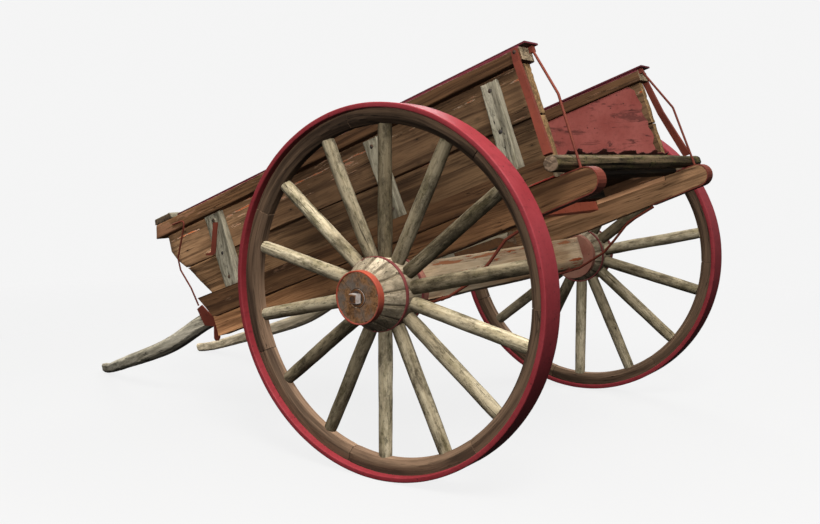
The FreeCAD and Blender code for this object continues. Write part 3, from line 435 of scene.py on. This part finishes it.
TYRE = iron_paint("tyre_red_paint", (0.215, 0.022, 0.028), (0.26, 0.032, 0.040), (0.035, 0.010, 0.010),
                  wear=0.7, rust_share=0.1, rough=0.42, scuffs=0.3, painted_under_shade=0.3, painted_top_light=1.5)
LINING = iron_paint("lining_red_paint", (0.22, 0.050, 0.040), (0.30, 0.085, 0.070), (0.045, 0.020, 0.018),
                    wear=0.8, rust_share=0.5, rough=0.6, scuffs=0.8)
FLOOR_LINING = iron_paint("floor_lining_paint", (0.10, 0.025, 0.020), (0.14, 0.04, 0.035),
                          (0.03, 0.015, 0.012), wear=0.8, rust_share=0.5, rough=0.6, scuffs=0.6)
STRIP = iron_paint("dark_red_iron", (0.110, 0.018, 0.027), (0.15, 0.024, 0.034), (0.03, 0.010, 0.008),
                   wear=0.6, rough=0.5, painted_under_shade=0.12, painted_top_light=1.2)
RED = iron_paint("red_painted_iron", (0.125, 0.026, 0.016), (0.18, 0.040, 0.022), (0.055, 0.018, 0.008),
                 wear=0.7, rust_share=0.35, rough=0.55)
TIE = iron_paint("tie_red_paint", (0.33, 0.075, 0.040), (0.40, 0.100, 0.060), (0.12, 0.030, 0.015),
                 wear=0.6, rough=0.5, painted_under_shade=0.9)
CAP = iron_paint("cap_red_paint", (0.27, 0.100, 0.072), (0.34, 0.17, 0.12), (0.16, 0.10, 0.07),
                 wear=0.7, rust_share=0.6, rough=0.55)
THIN = iron_paint("thin_band_paint", (0.15, 0.034, 0.034), (0.20, 0.050, 0.048), (0.07, 0.03, 0.02),
                  wear=0.6, rough=0.5)
BRIGHT = iron_paint("nose_band_paint", (0.15, 0.036, 0.028), (0.27, 0.050, 0.026), (0.07, 0.015, 0.01),
                    wear=0.5, rust_share=0.2, rough=0.4, painted_under_shade=0.3, painted_top_light=2.1)
IRON = bare_iron("bare_iron", (0.030, 0.026, 0.024), (0.08, 0.035, 0.015), (0.07, 0.062, 0.056))
RUSTY = bare_iron("rusty_brown_iron", (0.11, 0.060, 0.032), (0.17, 0.080, 0.035), (0.22, 0.14, 0.08), 0.8)
NUT = nut_iron()

SLOTS = {item["node"]: item["material_slot"] for item in frame["record"]["subparts"]}
FINISH = {
    "brown_board_wood": BOARD, "grey_weathered_wood": GREY, "grey_spoke_wood": SPOKE, "felloe_wood": FELLOE,
    "nave_wood": NAVE, "bed_wood": BED, "tyre_red_paint": TYRE, "lining_red_paint": LINING,
    "dark_red_iron": STRIP, "red_painted_iron": RED, "bare_iron": IRON, "rusty_nut_iron": NUT,
}
SILLS = {"left": SILL, "right": SILL_PAINTED_LIT}
SHAFTS = {"left": SHAFT, "right": SHAFT_PAINTED_LIT}
SPECIAL = {"hinge_iron_left": RUSTY, "hinge_iron_right": RUSTY, "cross_tie": TIE}


# ------------------------------------------------------------------ mesh helpers

ALONG, ACROSS, UP = 0, 1, 2
SAME_PLACE, SAME_PLANE = 0.02 * MM, math.radians(0.5)
SHARP_EDGE = math.radians(25)
# How square to the grain a face has to be to show end grain, as the cosine of the angle.
END_FACE = 0.75


def wobble(point, scale, seed):
    """Smooth noise from -1 to 1 at a point."""
    return noise.noise(Vector(point) * scale + Vector((seed * 7.31, seed * 3.17, seed * 1.73)))


def drawn_out(local, along, across):
    """Smooth noise from -1 to 1, with one scale along the grain and another across it."""
    return noise.noise(Vector((local.x * along, local.y * across, local.z * across)))


def fresh_mesh(node):
    """A copy of a CAD node's mesh in tray coordinates, its corners joined and flat faces whole again."""
    bm = bmesh.new()
    bm.from_mesh(frame["nodes"][node].data)
    bmesh.ops.remove_doubles(bm, verts=bm.verts, dist=SAME_PLACE)
    bm.transform(TO_TRAY)
    bmesh.ops.dissolve_limit(bm, angle_limit=SAME_PLANE, verts=bm.verts, edges=bm.edges)
    return bm


def slice_up(bm, axis, start, stop, step):
    """Cuts the mesh with evenly spaced planes square to one axis."""
    count = max(1, round((stop - start) / step))
    normal = Vector((axis == 0, axis == 1, axis == 2))
    for k in range(1, count):
        spot = normal * (start + (stop - start) * k / count)
        bmesh.ops.bisect_plane(bm, geom=bm.verts[:] + bm.edges[:] + bm.faces[:], dist=1e-6,
                               plane_co=spot, plane_no=normal)


def fresh_corners(node):
    """Corners of a CAD node in tray coordinates."""
    return [TO_TRAY @ vertex.co for vertex in frame["nodes"][node].data.vertices]


def islands(bm):
    """Lists of vertices, one list for each separate solid."""
    bm.verts.ensure_lookup_table()
    seen = set()
    groups = []
    for first in bm.verts:
        if first in seen:
            continue
        seen.add(first)
        group, queue = [], [first]
        while queue:
            vertex = queue.pop()
            group.append(vertex)
            for edge in vertex.link_edges:
                other = edge.other_vert(vertex)
                if other not in seen:
                    seen.add(other)
                    queue.append(other)
        groups.append(group)
    return groups


def extent(bm, axis):
    values = [vertex.co[axis] for vertex in bm.verts]
    return min(values), max(values)


def vertex_vectors(bm, name):
    """A new layer that stores a vector on every vertex."""
    return bm.verts.layers.float_vector.new(name)


def somewhere(draw):
    """A random shift of the grain, so that no two sticks look alike."""
    return Vector((draw.uniform(0, 9), draw.uniform(0, 9), draw.uniform(0, 9)))


def grained(point, axis, shift):
    """Grain coordinates of a point: the first number runs along the stick."""
    turned = Vector((point[axis], point[(axis + 1) % 3], point[(axis + 2) % 3]))
    return turned + shift


def body_of(node):
    return frame["nodes"][node]["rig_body"]


def make_piece(bm, name, body, material, smooth=35):
    """Turns the mesh into a piece that rides on its CAD body."""
    bmesh.ops.recalc_face_normals(bm, faces=bm.faces)
    mesh = bpy.data.meshes.new(name)
    bm.to_mesh(mesh)
    bm.free()
    mesh.shade_smooth()
    mesh.set_sharp_from_angle(angle=math.radians(smooth))
    mesh.materials.append(material)
    piece = bpy.data.objects.new(name, mesh)
    bpy.context.scene.collection.objects.link(piece)
    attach(piece, body)
    return piece


def put_in_place(bm, node, material, smooth=35):
    """Makes the mesh stand in for a CAD node."""
    piece = make_piece(bm, node + "_worn", body_of(node), material, smooth)
    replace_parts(piece, node)


def timber(node, axis, along=60, across=11, relief=0.7, chips=2.2, splits=0, material=None, seed=1,
           shape=None):
    """A worn copy of a CAD timber: ridged along the grain, its corners knocked about, split in places.
    axis is the tray axis the grain follows. along and across are the spacing of the mesh, relief the
    height of the ridges and chips the depth of the knocks, in millimetres."""
    bm = fresh_mesh(node)
    draw = random.Random(seed)
    for k in range(3):
        low, high = extent(bm, k)
        slice_up(bm, k, low, high, (along if k == axis else across) * MM)
    layer, home = vertex_vectors(bm, "grain"), vertex_vectors(bm, "tray")
    for group in islands(bm):
        shift = somewhere(draw)
        low = min(vertex.co[axis] for vertex in group)
        high = max(vertex.co[axis] for vertex in group)
        cracks = [plan_split(group, axis, low, high, draw) for _ in range(splits)]
        bm.normal_update()
        moves = []
        for vertex in group:
            local = grained(vertex.co, axis, shift)
            vertex[layer] = local
            vertex[home] = vertex.co
            sharp = max((edge.calc_face_angle(0) for edge in vertex.link_edges), default=0)
            push = (drawn_out(local, 4, 42) - 0.6) * relief
            push -= abs(drawn_out(local, 2, 90)) * relief
            if sharp > SHARP_EDGE:
                push -= chips * max(0.0, drawn_out(local, 9, 5) + 0.1)
            for crack in cracks:
                push -= crack(vertex.co)
            moves.append((vertex, vertex.normal * push * MM))
        for vertex, move in moves:
            vertex.co += move
    if shape:
        shape(bm)
    mark_ends(bm, axis)
    bm.transform(TRAY)
    put_in_place(bm, node, material or FINISH[SLOTS[node]])


def mark_ends(bm, axis):
    """Marks the faces that show end grain."""
    bm.normal_update()
    layer = bm.faces.layers.float.new("end_grain")
    for face in bm.faces:
        face[layer] = 1.0 if abs(face.normal[axis]) > END_FACE else 0.0


def plan_split(group, axis, low, high, draw):
    """One split: returns how deep it is, in millimetres, at a point."""
    deepest, half_width, sway = 4.0, 7 * MM, 6 * MM
    start = draw.uniform(low, high)
    length = (high - low) * draw.uniform(0.15, 0.45)
    spot = draw.choice(group).co.copy()
    side_axes = [k for k in range(3) if k != axis]

    def depth(point):
        share = (point[axis] - start) / length
        if not 0 < share < 1:
            return 0.0
        drift = wobble((point[axis] * 3, 0, 0), 1.0, start) * sway
        near = min(abs(point[k] + drift - spot[k]) for k in side_axes)
        return deepest * math.sin(math.pi * share) * max(0.0, 1 - near / half_width)

    return depth


def rings_mesh(bm, rings, layer, grain_rings, close_ends=True):
    """Quads between rings of points; the two end rings are closed by a face."""
    made = []
    for ring, marks in zip(rings, grain_rings):
        row = []
        for point, mark in zip(ring, marks):
            vertex = bm.verts.new(point)
            vertex[layer] = mark
            row.append(vertex)
        made.append(row)
    count = len(made[0])
    for first, second in zip(made, made[1:]):
        for k in range(count):
            bm.faces.new((first[k], first[(k + 1) % count], second[(k + 1) % count], second[k]))
    if close_ends:
        bm.faces.new(made[0][::-1])
        bm.faces.new(made[-1])
    else:
        for k in range(count):
            bm.faces.new((made[-1][k], made[-1][(k + 1) % count], made[0][(k + 1) % count], made[0][k]))


# ------------------------------------------------------------------ wheels

# A place on a wheel is an angle, a radius, and a distance across: outward along the axle from the middle
# of the cart. The pieces of a wheel are measured on the left one.
SPOKE_COUNT = len(islands(fresh_mesh("spokes_left")))
FELLOE_COUNT = len(islands(fresh_mesh("felloes_left")))
SPOKE_STEP = 2 * math.pi / SPOKE_COUNT
FELLOE_STEP = 2 * math.pi / FELLOE_COUNT
FELLOE_OUTER = reach("felloes_left").z / 2
FELLOE_DEPTH = 56 * MM
FELLOE_INNER = FELLOE_OUTER - FELLOE_DEPTH
FELLOE_NEAR = min(abs(corner.y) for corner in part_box("felloes_left"))
FELLOE_FAR = max(abs(corner.y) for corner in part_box("felloes_left"))
CHAMFER_ACROSS, CHAMFER_DEEP = 16 * MM, 21 * MM
FELLOE_JOINT, FELLOE_WEAR, FELLOE_RIDGE = 2.6 * MM, 2.0 * MM, 1.6 * MM
# Painted light on the felloes: how bright the inside, the chamfers and the side faces are painted.
FELLOE_INSIDE_PAINTED_LIGHT, FELLOE_CHAMFER_PAINTED_LIGHT, FELLOE_SIDE_PAINTED_LIGHT = 1.0, 0.55, 0.41
SPOKE_MIDDLE = abs(middle("spokes_left").y)
TYRE_HALF_WIDTH = reach("tyre_left").y / 2
TYRE_MIDDLE = abs(WHEEL_CENTRE["left"].y)
NAVE_BACK = min(abs(corner.y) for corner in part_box("nave_left"))
NAVE_NOSE = max(abs(corner.y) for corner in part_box("nave_left"))


def wheel_point(side, angle, radius, across):
    """The point at an angle from straight up, towards +X."""
    centre = WHEEL_CENTRE[side]
    return Vector((centre.x + math.sin(angle) * radius, SIDES[side] * across,
                   centre.z + math.cos(angle) * radius))


# How pale each spoke is, from the one that points up round towards +X.
SPOKE_TONES = {
    "left": (0.14, 0.36, 0.16, 0.28, 0.85, 0.40, 0.38, 0.75, 0.20, 0.12, 0.62, 0.82, 0.85, 0.32),
    "right": (0.30, 0.35, 0.20, 1.0, 0.50, 0.45, 0.40, 0.95, 0.30, 0.35, 0.60, 0.80, 0.50, 0.40),
}


def spokes(side):
    """Round spokes, a little crooked and uneven, waisted at the nave and at the rim."""
    foot, tip, seat = 28.5 * MM, 26.5 * MM, 130 * MM
    sunk, waist, crook = 3 * MM, 0.06, 1.6 * MM
    lumps, ridges, skin, proudest = 1.1 * MM, 0.7 * MM, 0.4 * MM, 0.6 * MM
    foot_tone, more_tone = 0.55, 0.5
    sectors, steps = 20, 44
    draw = random.Random(11 if side == "left" else 12)
    bm = bmesh.new()
    layer = vertex_vectors(bm, "grain")
    tone = bm.verts.layers.float.new("tone")
    out = Vector((0, SIDES[side], 0))
    for k in range(SPOKE_COUNT):
        angle = SPOKE_STEP * k
        seed = draw.uniform(0, 50)
        shift = somewhere(draw)
        flank = (wheel_point(side, angle, 1, 0) - wheel_point(side, angle, 0, 0)).cross(out)
        rings, marks = [], []
        for j in range(steps + 1):
            share = j / steps
            radius = seat + (FELLOE_INNER + sunk - seat) * share
            thick = foot + (tip - foot) * share
            thick *= 1 - waist * math.exp(-share * 22) - waist * math.exp(-(1 - share) * 40)
            sway = crook * math.sin(math.pi * share)
            centre = wheel_point(side, angle, radius, SPOKE_MIDDLE)
            centre += flank * wobble((share * 2, 0, 0), 1, seed) * sway
            centre += out * wobble((0, share * 2, 0), 1, seed) * sway
            ring, row = [], []
            for i in range(sectors):
                turn = 2 * math.pi * i / sectors
                u, v = math.cos(turn), math.sin(turn)
                lump = wobble((share * 7, u * 0.9, v * 0.9), 1, seed) * lumps
                lump += wobble((share * 3, u * 3.4, v * 3.4), 1, seed + 5) * ridges
                size = thick - skin + min(lump, proudest)
                ring.append(centre + (flank * u + out * v) * size)
                row.append(Vector((radius, u * thick, v * thick)) + shift)
            rings.append(ring)
            marks.append(row)
        done = len(bm.verts)
        rings_mesh(bm, rings, layer, marks)
        bm.verts.ensure_lookup_table()
        for number, vertex in enumerate(bm.verts[done:]):
            share = number // sectors / steps
            paleness = SPOKE_TONES[side][k % len(SPOKE_TONES[side])]
            vertex[tone] = paleness * (foot_tone + more_tone * min(1.0, share * 2.2))
    put_in_place(bm, "spokes_" + side, SPOKE, 60)


def band_profile(corners, ease, steps=3):
    """A closed outline with every corner rounded off by ease."""
    points = []
    count = len(corners)
    for k in range(count):
        corner = Vector(corners[k])
        before = Vector(corners[k - 1]) - corner
        after = Vector(corners[(k + 1) % count]) - corner
        size = min(ease, before.length * 0.45, after.length * 0.45)
        start, stop = corner + before.normalized() * size, corner + after.normalized() * size
        for j in range(steps + 1):
            share = j / steps
            bend = corner * 2 * share * (1 - share)
            points.append(start * (1 - share) ** 2 + bend + stop * share ** 2)
    return points


def fill_in(points, step):
    """Adds points so that no side of the closed outline is longer than step."""
    filled = []
    for first, second in zip(points, points[1:] + points[:1]):
        parts = max(1, math.ceil((second - first).length / step))
        filled += [first.lerp(second, k / parts) for k in range(parts)]
    return filled


def turned_ring(bm, layer, side, profile, sectors, rough, seed):
    """A full ring with a closed (across, radius) profile, slightly uneven."""
    rings, marks = [], []
    for k in range(sectors):
        angle = 2 * math.pi * k / sectors
        ring, row = [], []
        for across, radius in profile:
            spot = Vector((math.sin(angle) * radius, across, math.cos(angle) * radius))
            dip = abs(wobble(spot * 9, 1, seed)) * rough
            dip += abs(wobble(spot * 40, 1, seed + 1)) * rough * 0.5
            ring.append(wheel_point(side, angle, radius - dip, across))
            row.append(spot)
        rings.append(ring)
        marks.append(row)
    rings_mesh(bm, rings, layer, marks, close_ends=False)


def tyre(side):
    """Broad iron tyre with eased edges, shrunk round the felloes."""
    ease, play, wear = 4 * MM, 0.1 * MM, 0.3 * MM
    near, far = TYRE_MIDDLE - TYRE_HALF_WIDTH, TYRE_MIDDLE + TYRE_HALF_WIDTH
    low, high = FELLOE_OUTER + play, WHEEL_RADIUS - wear
    corners = [(near, low), (far, low), (far, high), (near, high)]
    profile = fill_in(band_profile(corners, ease), 14 * MM)
    bm = bmesh.new()
    turned_ring(bm, vertex_vectors(bm, "grain"), side, profile, sectors=200, rough=0.7 * MM, seed=3)
    put_in_place(bm, "tyre_" + side, TYRE, 50)


def felloes(side):
    """Rim segments with an open joint between each two, ridged along the grain; painted light on the inside
    and on the chamfers, the side faces left darker.
    """
    shoulder = FELLOE_INNER + CHAMFER_DEEP
    corners = [(FELLOE_NEAR, FELLOE_OUTER), (FELLOE_FAR, FELLOE_OUTER), (FELLOE_FAR, shoulder),
               (FELLOE_FAR - CHAMFER_ACROSS, FELLOE_INNER), (FELLOE_NEAR + CHAMFER_ACROSS, FELLOE_INNER),
               (FELLOE_NEAR, shoulder)]
    profile = fill_in([Vector(corner) for corner in corners], 9 * MM)
    centre = (FELLOE_NEAR + FELLOE_FAR) / 2
    gap = FELLOE_JOINT / FELLOE_OUTER
    steps = 30
    draw = random.Random(21 if side == "left" else 22)
    bm = bmesh.new()
    layer = vertex_vectors(bm, "grain")
    for k in range(FELLOE_COUNT):
        shift = somewhere(draw)
        start = FELLOE_STEP * k + SPOKE_STEP / 2 - FELLOE_STEP / 2 + gap / 2
        rings, marks = [], []
        for j in range(steps + 1):
            angle = start + (FELLOE_STEP - gap) * j / steps
            worn = FELLOE_WEAR if j in (0, steps) else 0.0
            ring, row = [], []
            for across, radius in profile:
                mark = Vector((angle * radius, across, radius)) + shift
                lean = abs(drawn_out(mark, 3, 70)) * FELLOE_RIDGE
                lean += worn * max(0.0, noise.noise(mark * 11) + 0.3)
                inner = min(1.0, (FELLOE_OUTER - radius) / (4 * MM))
                flank = FELLOE_NEAR + 1 * MM < across < FELLOE_FAR - 1 * MM
                toward = 0 if flank else math.copysign(1, centre - across)
                ring.append(wheel_point(side, angle, radius + lean * inner * flank, across + toward * lean))
                row.append(mark)
            rings.append(ring)
            marks.append(row)
        rings_mesh(bm, rings, layer, marks)
    # Painted light: each face takes the brightness painted for the inside, a chamfer or a side face.
    tone = bm.faces.layers.float.new("tone")
    for face in bm.faces:
        spot = face.calc_center_median() - WHEEL_CENTRE[side]
        radius = math.hypot(spot.x, spot.z)
        if radius < FELLOE_INNER + 2.5 * MM:
            face[tone] = FELLOE_INSIDE_PAINTED_LIGHT
        elif radius < shoulder - 1 * MM:
            face[tone] = FELLOE_CHAMFER_PAINTED_LIGHT
        else:
            face[tone] = FELLOE_SIDE_PAINTED_LIGHT
    put_in_place(bm, "felloes_" + side, FELLOE, 40)


# Nave outline: distance from its back face and radius, millimetres, from the bore round to the bore.
NAVE_OUTLINE = [(0, 36), (0, 108), (28, 108), (46, 122), (63, 133), (76, 133), (76, 136), (178, 136),
                (181, 139), (255, 97), (257, 93), (287, 93), (287, 36)]
STAVES = 14
STAVE_GROOVE, NAVE_SKIN, NAVE_ROUGH = 4.5 * MM, 0.5 * MM, 1.2 * MM
BORE_EDGE = 60 * MM
NAVE_GRAIN_RADIUS, NOSE_GRAIN_SCALE = 0.11, 3
JOINT_TONE, NOSE_TONE, NOSE_SPLIT_TONE = 0.4, 0.75, 0.5


def nave(side):
    """Wooden nave, split lengthwise into staves by age, with an open groove between them."""
    outline = [Vector((NAVE_BACK + x * MM, r * MM)) for x, r in NAVE_OUTLINE]
    profile = fill_in(outline, 11 * MM)
    per_stave = 8
    sectors = STAVES * per_stave
    draw = random.Random(31)
    shifts = [somewhere(draw) for _ in range(STAVES)]
    bm = bmesh.new()
    grain = bm.loops.layers.float_vector.new("grain")
    ends = bm.faces.layers.float.new("end_grain")
    tone = bm.faces.layers.float.new("tone")
    tones = [draw.uniform(0.35, 1.0) for _ in range(STAVES)]
    rows = []
    for k in range(sectors):
        angle = 2 * math.pi * (k + 0.3) / sectors
        groove = (STAVE_GROOVE if k % per_stave == 0 else 0.0) + NAVE_SKIN
        row = []
        for across, radius in profile:
            rough = abs(noise.noise(Vector((math.sin(angle), across, math.cos(angle))) * 9)) * NAVE_ROUGH
            depth = (groove + rough) if radius > BORE_EDGE else 0.0
            row.append(bm.verts.new(wheel_point(side, angle, radius - depth, across)))
        rows.append(row)
    count = len(profile)
    for k in range(sectors):
        first, second = rows[k], rows[(k + 1) % sectors]
        shift = shifts[k // per_stave]
        for j in range(count):
            n = (j + 1) % count
            face = bm.faces.new((first[j], first[n], second[n], second[j]))
            flat = abs(profile[j].x - profile[n].x) < 0.5 * MM
            face[ends] = 1.0 if flat and profile[j].x > NAVE_NOSE - 5 * MM else 0.0
            joint = k % per_stave in (0, per_stave - 1)
            face[tone] = tones[k // per_stave] * (JOINT_TONE if joint else 1.0)
            if face[ends]:
                face[tone] = NOSE_SPLIT_TONE if k % (3 * per_stave) == 0 else NOSE_TONE
            places = ((j, k), (n, k), (n, k + 1), (j, k + 1))
            for loop, (spot, turn) in zip(face.loops, places):
                around = 2 * math.pi * turn / sectors
                across, radius = profile[spot]
                loop[grain] = Vector((across, around * NAVE_GRAIN_RADIUS, radius)) + shift
                if face[ends]:
                    outward = Vector((0, math.sin(around), math.cos(around)))
                    loop[grain] = outward * radius * NOSE_GRAIN_SCALE
    put_in_place(bm, "nave_" + side, NAVE, 40)


def nave_bands(side):
    """Back cap, rear band, front band and nose band."""
    node = "nave_bands_" + side
    ease, rough = 1.6 * MM, 0.35 * MM
    bands = {
        "back_cap": ([(-6, 37), (-6, 114), (28, 114), (28, 108.3), (-0.3, 108.3), (-0.3, 37)], CAP),
        "rear_band": ([(63, 133.2), (63, 139), (76, 139), (76, 133.2)], THIN),
        "front_band": ([(163, 136.2), (163, 141), (178, 141), (178, 136.2)], THIN),
        "nose_band": ([(257, 93.2), (257, 99), (289, 99), (289, 93.2)], BRIGHT),
    }
    pieces = []
    for seed, (label, (corners, material)) in enumerate(bands.items()):
        outline = [(NAVE_BACK + x * MM, r * MM) for x, r in corners]
        profile = fill_in(band_profile(outline, ease), 12 * MM)
        bm = bmesh.new()
        turned_ring(bm, vertex_vectors(bm, "grain"), side, profile, 96, rough, seed)
        name = "nave_%s_%s" % (label, side)
        pieces.append(make_piece(bm, name, body_of(node), material, 45))
    for piece in pieces:
        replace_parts(piece, node)


for wheel_side in SIDES:
    spokes(wheel_side)
    tyre(wheel_side)
    felloes(wheel_side)
    nave(wheel_side)
    nave_bands(wheel_side)


# ------------------------------------------------------------------ tray timbers

BOARD_END = max(corner.x for corner in fresh_corners("upper_board_left"))
LINING_END = max(corner.x for corner in fresh_corners("floor_lining"))


def ragged_end(bm):
    """Boards worn unevenly at the tail."""
    reach_in, deepest = 40 * MM, 4 * MM
    for vertex in bm.verts:
        near = (vertex.co.x - BOARD_END + reach_in) / reach_in
        if near > 0:
            bite = max(0.0, noise.noise(Vector((3, vertex.co.y * 4, vertex.co.z * 28))) + 0.1)
            vertex.co.x -= bite * deepest * near


def torn_lining(bm):
    """The floor sheet curls up and is torn at the tail."""
    reach_in, curl, more_curl, tear = 60 * MM, 14 * MM, 26 * MM, 24 * MM
    for vertex in bm.verts:
        near = (vertex.co.x - LINING_END + reach_in) / reach_in
        if near > 0:
            wave = 0.5 + 0.5 * noise.noise(Vector((2, vertex.co.y * 9, 1)))
            torn = max(0.0, noise.noise(Vector((7, vertex.co.y * 23, 4))) + 0.2)
            vertex.co.z += (curl + wave * more_curl) * near * near
            vertex.co.x -= torn * tear * near


def dented(bm):
    """Sheet iron knocked about from inside."""
    depth = 1.2 * MM
    for vertex in bm.verts:
        vertex.co.y += noise.noise(Vector((vertex.co.x * 5, 3, vertex.co.z * 8))) * depth


for wheel_side in SIDES:
    timber("sill_" + wheel_side, ALONG, material=SILLS[wheel_side], splits=3, seed=41)
    timber("lower_rail_" + wheel_side, ALONG, material=RAIL, splits=3, seed=42)
    timber("lower_board_" + wheel_side, ALONG, splits=5, material=LOWER_BOARD, seed=43, shape=ragged_end)
    timber("upper_board_" + wheel_side, ALONG, splits=5, seed=44, shape=ragged_end)
    timber("top_rail_" + wheel_side, ALONG, relief=0.5, chips=1.0, material=TOP_RAIL, splits=2, seed=45)
    timber("stakes_" + wheel_side, UP, along=25, across=8, relief=1.0, splits=2, seed=46)
    timber("shaft_" + wheel_side, ALONG, along=45, across=9, relief=1.0, chips=1.5, splits=4,
           material=SHAFTS[wheel_side], seed=47)
timber("front_cross_bar", ACROSS, along=40, across=8, relief=1.6, chips=5, splits=3, material=GREY, seed=48)
timber("tail_bar", ACROSS, along=16, across=8, relief=1.0, chips=1.6, splits=3, material=TAIL, seed=49)
timber("axle_bed", ACROSS, along=40, across=11, relief=0.8, splits=3, seed=50)
timber("front_boards", ACROSS, along=60, across=14, splits=2, seed=51)
# The floor boards and bearers take the near-black wood, painted shade beneath the tray.
timber("floor_boards", ALONG, along=90, across=16, splits=1, material=PAINTED_SHADE_WOOD, seed=52)
timber("floor_bearers", ACROSS, along=90, across=14, material=PAINTED_SHADE_WOOD, seed=53)
timber("shaft_cross_bars", ACROSS, along=60, across=14, seed=54)
timber("sill_ledgers", ALONG, along=60, across=9, material=LEDGER_WOOD_PAINTED_LIT, seed=55)
timber("floor_lining", ALONG, along=20, across=20, relief=0.2, chips=0, material=FLOOR_LINING, seed=56,
       shape=torn_lining)
for wheel_side in SIDES:
    timber("side_lining_" + wheel_side, ALONG, along=25, across=25, relief=0.2, chips=0, seed=57,
           shape=dented)


# ------------------------------------------------------------------ ironwork kept from the frame

REPLACED = {name for item in bpy.data.objects for name in item.get("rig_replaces", [])}
for node, item in frame["nodes"].items():
    if node not in REPLACED:
        item.data.materials.clear()
        item.data.materials.append(SPECIAL.get(node, FINISH[SLOTS[node]]))


# ------------------------------------------------------------------ floor, light and camera

BACKDROP = (0.91, 0.91, 0.91, 1)
FLOOR_SEEN, FLOOR_LIGHTING, FLOOR_GLOW = (0.09, 0.09, 0.09), (0.03, 0.03, 0.03), 0.80
FLOOR_CLEAR_FROM, FLOOR_CLEAR_TO, FLOOR_HALF = 2.2, 5.5, 7
SKY_LOW, SKY_HIGH = -0.3, 0.9
LIGHT_LOW, LIGHT_HIGH = 0.02, 0.75
WARM_WHITE = (1.0, 0.98, 0.95)
# Camera: place from the axle in wheel radii, turn and tilt in degrees, lens and film width in millimetres.
CAMERA_PLACE = (2.9863, -5.2701, 0.7182)
CAMERA_TURN, CAMERA_TILT = 34.98, -6.30
CAMERA_LENS, CAMERA_FILM = 41.83, 36


def floor_material():
    """Pale and even, with only a faint shadow; it throws almost no light back up."""
    p = Paint("studio_floor")
    away = p.add("VectorMath", {"operation": "LENGTH"}, {0: p.place()}, output=1)
    fade = p.mask(away, FLOOR_CLEAR_FROM, FLOOR_CLEAR_TO)
    seen = p.add("LightPath", {}, {}, output=0)
    p.put(p.shader.inputs["Base Color"], p.mix(seen, FLOOR_LIGHTING, FLOOR_SEEN))
    p.put(p.shader.inputs["Roughness"], 0.9)
    p.put(p.shader.inputs["Specular IOR Level"], 0.0)
    p.put(p.shader.inputs["Emission Color"], (1.0, 1.0, 1.0))
    p.put(p.shader.inputs["Emission Strength"], p.times(seen, FLOOR_GLOW))
    clear = p.add("BsdfTransparent", {}, {})
    blend = p.add("MixShader", {}, {0: fade, 1: p.shader.outputs[0], 2: clear})
    p.put(p.tree.nodes["Material Output"].inputs["Surface"], blend)
    return p.material


def build_floor():
    bm = bmesh.new()
    bmesh.ops.create_grid(bm, x_segments=8, y_segments=8, size=FLOOR_HALF)
    mesh = bpy.data.meshes.new("studio_floor")
    bm.to_mesh(mesh)
    bm.free()
    mesh.materials.append(floor_material())
    item = bpy.data.objects.new("studio_floor", mesh)
    bpy.context.scene.collection.objects.link(item)


def build_world():
    """The camera sees an even pale backdrop; the light it gives is soft and comes mostly from above."""
    world = bpy.data.worlds.new("studio")
    world.use_nodes = True
    tree = world.node_tree
    nodes, links = tree.nodes, tree.links
    nodes.clear()
    out = nodes.new("ShaderNodeOutputWorld")
    pick = nodes.new("ShaderNodeMixShader")
    path = nodes.new("ShaderNodeLightPath")
    seen = nodes.new("ShaderNodeBackground")
    lit = nodes.new("ShaderNodeBackground")
    coords = nodes.new("ShaderNodeTexCoord")
    split = nodes.new("ShaderNodeSeparateXYZ")
    ramp = nodes.new("ShaderNodeMapRange")
    seen.inputs[0].default_value = BACKDROP
    for number, value in enumerate((SKY_LOW, SKY_HIGH, LIGHT_LOW, LIGHT_HIGH), 1):
        ramp.inputs[number].default_value = value
    links.new(coords.outputs["Generated"], split.inputs[0])
    links.new(split.outputs[2], ramp.inputs[0])
    links.new(ramp.outputs[0], lit.inputs["Strength"])
    links.new(path.outputs[0], pick.inputs[0])
    links.new(lit.outputs[0], pick.inputs[1])
    links.new(seen.outputs[0], pick.inputs[2])
    links.new(pick.outputs[0], out.inputs[0])
    bpy.context.scene.world = world


def area_light(name, place, size, power, colour=(1, 1, 1), shadow=True):
    """A round lamp that looks at the axle."""
    data = bpy.data.lights.new(name, "AREA")
    data.shape = "DISK"
    data.size = size
    data.energy = power
    data.color = colour
    data.use_shadow = shadow
    item = bpy.data.objects.new(name, data)
    item.location = place
    item.rotation_euler = (AXLE - Vector(place)).to_track_quat("-Z", "Y").to_euler()
    bpy.context.scene.collection.objects.link(item)


def build_camera():
    """Low three-quarter view from behind the left wheel."""
    data = bpy.data.cameras.new("camera")
    data.lens = CAMERA_LENS
    data.sensor_width = CAMERA_FILM
    item = bpy.data.objects.new("camera", data)
    item.location = AXLE + Vector(CAMERA_PLACE) * WHEEL_RADIUS
    item.rotation_euler = (math.pi / 2 + math.radians(CAMERA_TILT), 0, math.radians(CAMERA_TURN))
    bpy.context.scene.collection.objects.link(item)
    bpy.context.scene.camera = item


build_floor()
build_world()
area_light("key", (3.6, -3.6, 6.0), size=2.6, power=260, colour=WARM_WHITE)
area_light("key_without_shadow", (3.6, -3.6, 6.0), size=2.6, power=260, colour=WARM_WHITE, shadow=False)
area_light("front_without_shadow", (2.6, -5.6, 1.6), size=3.0, power=90, colour=WARM_WHITE, shadow=False)
area_light("back", (-1.0, 4.5, 4.5), size=3.0, power=120)
build_camera()
bpy.context.scene.view_settings.view_transform = "Standard"
